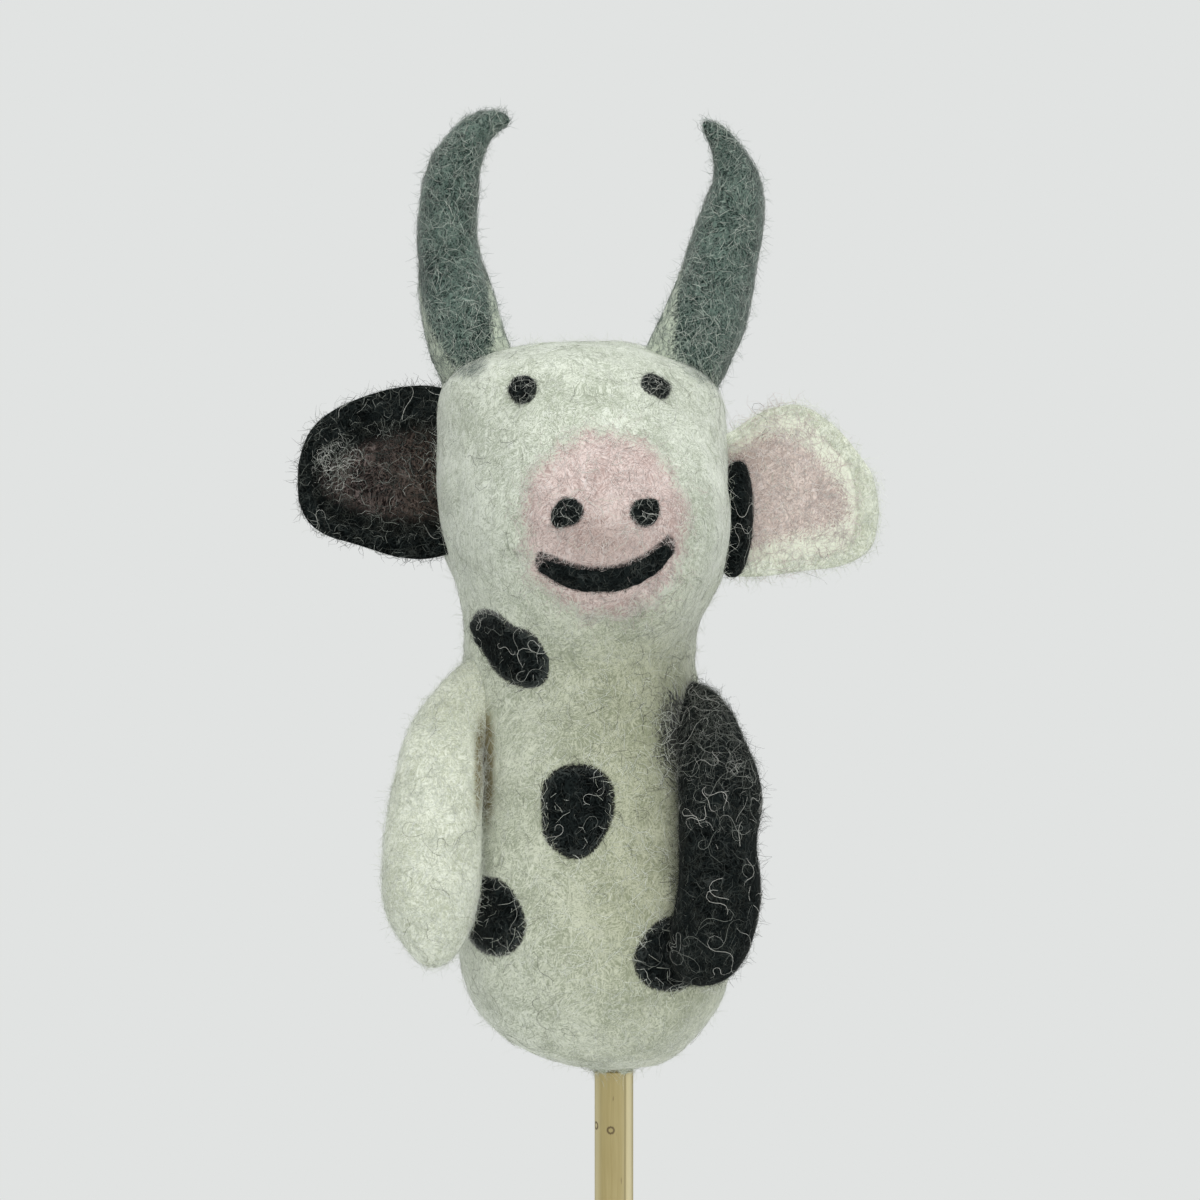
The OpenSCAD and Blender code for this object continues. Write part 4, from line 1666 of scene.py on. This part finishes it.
@dataclass
class Ear:
    """A thick cupped ear with a lining felted into its front.

    Attributes:
        name: The piece's name.
        knots: Rows of x, middle height and half height from the root to the tip.
        lining: Rows of x, middle height and half height of the lining.
        body: The body it turns with.
        dark: True for the black ear.
        seed: What makes its fibres its own.
        depth: Where its plate lies, before the cupping.
        thick: Half its thickness.
        cup: How far its upper and lower edges come forward.
    """

    name: str
    knots: tuple[Place, ...]
    lining: tuple[Place, ...]
    body: Body
    dark: bool
    seed: int
    depth: float = -2.0
    thick: float = 1.55
    cup: float = 1.5

    def plate(self, knots: tuple[Place, ...]) -> Surface:
        """Flat rings across the ear: height cos a, thickness sin a, edges drawn forward."""
        t = np.sin(np.linspace(0, math.pi / 2, 60))
        x, z, half = Spline(knots).at(t).T
        half = np.maximum(half, 0.05)
        a = ring(72)
        c, s = np.cos(a)[None, :], np.sin(a)[None, :]
        flat = np.sign(c) * abs(c) ** 0.8
        fade = np.minimum(1, half / half.max() * 2.2)[:, None]
        y = self.depth + self.thick * s * fade - self.cup * flat**2 * fade
        y = y - 1.1 * (t[:, None] ** 2) + 0 * c
        grid = np.stack([x[:, None] + 0 * c, y, z[:, None] + half[:, None] * flat], -1)
        out = np.stack([0 * y, s + 0 * y, 0.6 * c + 0 * y], -1)
        grid = grid + out * (FORM.noise.felt(grid, 0.6) * fade)[..., None]
        return Surface.closed(grid, along=np.repeat(t[:, None], len(a), 1))

    def front(self, p: np.ndarray) -> np.ndarray:
        """1 on the side that faces forward."""
        return (p[:, 1] < self.depth) * 1.0

    def frosted(self, p: np.ndarray) -> np.ndarray:
        """Where pale fibres lie on the lining, near the ear's tip."""
        away = np.hypot((abs(p[:, 0]) - 36.0) / 3.4, (p[:, 2] - 178.6) / 3.6)
        return self.front(p) * smoothstep(1.3, 0.3, away)

    def rim(self, p: np.ndarray) -> np.ndarray:
        """Where the ear's own wool runs over the edge of its lining."""
        near, far = self.lining[0][0], self.lining[-1][0]
        x = (p[:, 0] - (near + far) / 2) / (far - near) * 2
        z = (p[:, 2] - self.lining[2][1]) / self.lining[2][2]
        return self.front(p) * smoothstep(0.55, 0.9, np.hypot(x, z))

    def inside(self) -> Surface:
        """The lining: the plate's own front within a smaller outline, just proud of it."""
        plate = self.plate(self.lining)
        grid = plate.grid.copy()
        a = ring(grid.shape[1])[None, :]
        t = plate.marks["along"]
        rim = np.maximum(abs(np.cos(a)), smoothstep(0.75, 1.0, t))
        full = Spline(self.knots).at(np.linspace(0, 1, 200))
        order = np.argsort(full[:, 0])
        half = np.interp(grid[..., 0], full[order, 0], full[order, 2])
        mid = np.interp(grid[..., 0], full[order, 0], full[order, 1])
        c = np.clip((grid[..., 2] - mid) / np.maximum(half, 0.1), -1, 1)
        share = np.minimum(1, half / max(k[2] for k in self.knots) * 2.2)
        x0, x1 = self.knots[0][0], self.knots[-1][0]
        far = np.clip((grid[..., 0] - x0) / (x1 - x0), 0, 1)
        front = self.depth - self.thick * share * np.sqrt(1 - abs(c) ** 2.5)
        front = front - self.cup * c**2 * share - 1.1 * far**2
        lumps = FORM.noise.felt(np.stack([grid[..., 0], front, grid[..., 2]], -1), 0.6)
        proud = 0.32 - 0.62 * rim**3
        proud = np.where(np.sin(a) < 0, proud, -0.5)
        grid[..., 1] = front - lumps * np.sqrt(1 - 0.6 * c**2) - proud
        rim = np.hypot(np.cos(a), t**1.6 * 0.9)
        plate.marks["tint"] = np.where(np.sin(a) < 0, smoothstep(0.3, 0.95, rim), 1.0)
        # Painted shade: the lining darkens towards the ear's root, where the ear meets the head.
        plate.marks["deep"] = smoothstep(0.55, 0.0, t) * 0.9
        return Surface.closed(grid, **plate.marks)

    def build(self) -> None:
        """Makes the ear, its lining and their fibres."""
        side = 1 if self.knots[-1][0] > 0 else -1
        root = self.knots[1][0]
        bend = Bend(
            (Body.HEAD, self.body),
            (root - side * 1.5, self.depth, 175.0),
            (root + side * 3.0, self.depth, 175.0),
        )
        plate, inside = self.plate(self.knots), self.inside()
        if self.dark:
            felt, lining, fibre, beds = BLACK, DUSKY, BLACK_FIBRE, [
                Bed(plate, 1500, MATTED.long(2, 5), (0.1, 0.93), 0.03),
                Bed(plate, 1700, FUZZ, (0.0, 0.86), 0.03),
                Bed(plate, 40, SPIRAL, (0.86, 1.0), 0.03),
                Bed(inside, 3000, MATTED.long(1.5, 5), (0.84, 1.0), 0.0, self.frosted),
                Bed(inside, 2000, MATTED.long(2, 5), (0.0, 0.95), 0.0, self.front),
                Bed(inside, 1500, SHORT, (0.0, 0.6), 0.0, self.rim),
            ]
        else:
            felt, lining, fibre, beds = CREAM, EAR_PINK, WHITE_FIBRE, [
                Bed(plate, 1500, replace(MATTED, thick=0.026), (0.4, 1.0), 0.03),
                Bed(plate, 1800, FUZZ, (0.4, 1.0), 0.03),
                Bed(plate, 10, SPIRAL, (0.0, 0.12), 0.03),
            ]
        dress(plate.mesh(f"{self.name}_felt"), felt, bend, self.name, padded=True)
        dress(inside.mesh(f"{self.name}_inside"), lining, bend, f"{self.name}_lining")
        wool_coat(f"{self.name}_fibres", beds, fibre, self.seed, bend)
        if not self.dark:
            wool_coat(
                f"{self.name}_lining_fibres",
                [Bed(inside, 1900, MATTED, (0.2, 1.0), 0.0, self.front)],
                PINK_FIBRE, self.seed + 5, bend,
            )
        log.info("%s built", self.name)


# ---------------------------------------------------------------- studio


@dataclass
class Studio:
    """A pale floor, soft light mostly from above, and a level camera in front."""

    eye: Place = (-1.8, -433.0, 160.5)
    lens: float = 100.0
    backdrop: Colour = (0.753, 0.768, 0.761)

    def floor(self) -> None:
        """A round pale floor of one flat fan, as wide as the studio's table."""
        count, radius = 96, 330.0
        a = ring(count)
        edge = np.stack([radius * np.cos(a), radius * np.sin(a), 0 * a - 0.1], -1)
        points = np.vstack([edge, [[0, 0, -0.1]]])
        i = np.arange(count)
        tris = np.stack([i, (i + 1) % count, np.full(count, count)], -1)
        obj = mesh_object("floor", points, np.zeros((0, 4), int), tris, {})
        s = Shader("floor_paper", {"Roughness": 0.9, "Specular IOR Level": 0.1})
        grain = s.noise(s.places(), 30.0, 3.0)
        s.feed(s.bsdf.inputs["Base Color"], s.mix(grain, (0.80, 0.815, 0.81), (0.84, 0.85, 0.845)))
        obj.data.materials.append(s.material)

    def sky(self) -> None:
        """The world: the backdrop where it is seen, and light that falls from above."""
        world = bpy.data.worlds.new("studio")
        bpy.context.scene.world = world
        tree = Tree(world)
        way = tree.node("ShaderNodeTexCoord", {}, {}).outputs["Generated"]
        up = tree.node("ShaderNodeSeparateXYZ", {}, {0: way}).outputs["Z"]
        height = tree.node(
            "ShaderNodeMapRange", {}, {"Value": up, "From Min": -0.5, "From Max": 0.9}
        ).outputs[0]
        colour = tree.node(
            "ShaderNodeMix", {"data_type": "RGBA"},
            {0: height, 6: (0.72, 0.74, 0.70), 7: (0.95, 0.97, 0.98)},
        ).outputs[2]
        light = tree.node("ShaderNodeBackground", {}, {0: colour, 1: 0.64}).outputs[0]
        seen = tree.node("ShaderNodeBackground", {}, {0: self.backdrop}).outputs[0]
        from_camera = tree.node("ShaderNodeLightPath", {}, {}).outputs["Is Camera Ray"]
        both = tree.node("ShaderNodeMixShader", {}, {0: from_camera, 1: light, 2: seen})
        tree.node("ShaderNodeOutputWorld", {}, {0: both.outputs[0]})

    def lamp(self, name: str, place: Place, size: float, power: float) -> None:
        """A square soft light that faces the puppet's chest."""
        data = bpy.data.lights.new(name, "AREA")
        data.shape, data.size, data.energy = "SQUARE", size * MM, power
        obj = bpy.data.objects.new(name, data)
        bpy.context.scene.collection.objects.link(obj)
        away = np.array(place) - np.array([-1.8, 0.0, 160.0])
        obj.location = tuple(v * MM for v in place)
        obj.rotation_mode = "QUATERNION"
        obj.rotation_quaternion = Vector(away).to_track_quat("Z", "Y")

    def build(self) -> None:
        """Sets up the floor, the light and the camera."""
        self.floor()
        self.sky()
        self.lamp("overhead", (20.0, -120.0, 650.0), 460.0, 1.45)
        self.lamp("front_fill", (70.0, -620.0, 130.0), 420.0, 1.4)
        data = bpy.data.cameras.new("camera")
        data.lens, data.sensor_width = self.lens, 36.0
        data.clip_start, data.clip_end = 0.01, 20.0
        camera = bpy.data.objects.new("camera", data)
        bpy.context.scene.collection.objects.link(camera)
        camera.location = tuple(v * MM for v in self.eye)
        camera.rotation_euler = (math.pi / 2, 0, 0)
        bpy.context.scene.camera = camera
        bpy.context.scene.view_settings.view_transform = "Standard"


# ---------------------------------------------------------------- the whole puppet


HORNS = (
    Horn(
        "horn_right",
        Limb(
            ((-15.2, -0.5, 184.0, 4.4), (-17.8, -1.6, 190.6, 4.9), (-20.0, -1.4, 197.5, 4.9),
             (-21.2, -0.6, 204.0, 4.1), (-21.5, -0.4, 210.5, 3.8), (-20.7, -0.6, 216.4, 3.2),
             (-18.5, -0.9, 220.5, 2.5), (-16.0, -1.1, 222.3, 1.7), (-13.5, -1.2, 222.7, 0.9)),
            0.9, 0.95, 0.65,
        ),
        Body.HORN_RIGHT, 31, True,
    ),
    Horn(
        "horn_left",
        Limb(
            ((6.0, -0.5, 184.0, 4.6), (9.0, -1.6, 190.6, 5.3), (11.8, -1.4, 197.3, 5.3),
             (13.8, -0.6, 203.8, 4.7), (15.5, -0.4, 210.0, 4.2), (16.0, -0.6, 214.6, 3.2),
             (14.9, -0.9, 218.2, 2.1), (13.4, -1.1, 220.6, 1.4), (11.6, -1.2, 222.4, 0.7)),
            0.9, 0.95, 0.65,
        ),
        Body.HORN_LEFT, 32, False,
    ),
)

ARMS = (
    Arm(
        "arm_right",
        Limb(
            ((-11.0, -3.0, 153.0, 3.0), (-16.4, -5.2, 149.6, 4.0), (-20.8, -8.8, 143.8, 4.7),
             (-22.3, -11.6, 136.8, 5.7), (-22.9, -13.1, 129.8, 6.1), (-23.0, -13.7, 123.4, 6.2),
             (-22.8, -13.8, 118.4, 5.5), (-22.7, -13.5, 114.2, 4.5)),
            0.66, 0.82, 0.45, 2.0,
        ),
        Body.ARM_RIGHT, False, 41,
    ),
    Arm(
        "arm_left",
        Limb(
            ((8.6, -5.0, 148.8, 2.0), (10.9, -9.3, 145.9, 3.4), (12.4, -13.0, 141.8, 4.3),
             (13.3, -15.4, 136.5, 5.2), (12.9, -16.8, 130.5, 4.9), (13.0, -17.6, 123.5, 5.0),
             (11.6, -17.9, 117.6, 4.9), (8.8, -17.4, 113.0, 4.0)),
            0.8, 0.86, 0.6,
        ),
        Body.ARM_LEFT, True, 42,
    ),
)

EARS = (
    Ear(
        "ear_right",
        ((-17.0, 177.0, 9.0), (-22.8, 177.0, 11.0), (-28.0, 177.0, 10.9), (-33.0, 177.0, 9.5),
         (-36.8, 176.6, 7.9), (-39.2, 176.2, 5.8), (-40.5, 175.8, 2.8), (-40.8, 175.8, 0.1)),
        ((-19.0, 176.6, 6.5), (-23.5, 176.6, 8.3), (-28.0, 176.4, 8.0), (-32.5, 176.2, 6.8),
         (-36.0, 176.0, 5.2), (-38.0, 175.9, 3.0), (-38.8, 175.9, 0.1)),
        Body.EAR_RIGHT, True, 51,
    ),
    Ear(
        "ear_left",
        ((10.5, 173.0, 7.5), (15.0, 173.0, 9.2), (19.2, 174.2, 10.6), (23.8, 174.9, 10.7),
         (28.3, 173.8, 9.1), (31.4, 172.6, 6.8), (33.4, 172.0, 4.2), (34.2, 171.9, 0.1)),
        ((12.0, 172.8, 7.0), (16.5, 173.6, 9.0), (20.0, 174.9, 10.4), (24.0, 174.9, 9.8),
         (27.5, 173.5, 7.4), (30.4, 172.5, 4.6), (31.4, 172.3, 0.1)),
        Body.EAR_LEFT, False, 52,
    ),
)


def main() -> None:
    """Builds the studio and the puppet, piece by piece."""
    logging.basicConfig(level=logging.INFO, format="%(message)s")
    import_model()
    Studio().build()
    Stick().build()
    Torso().build()
    Head().build()
    for piece in (*HORNS, *ARMS, *EARS):
        piece.build()


if __name__ == "__main__":
    main()
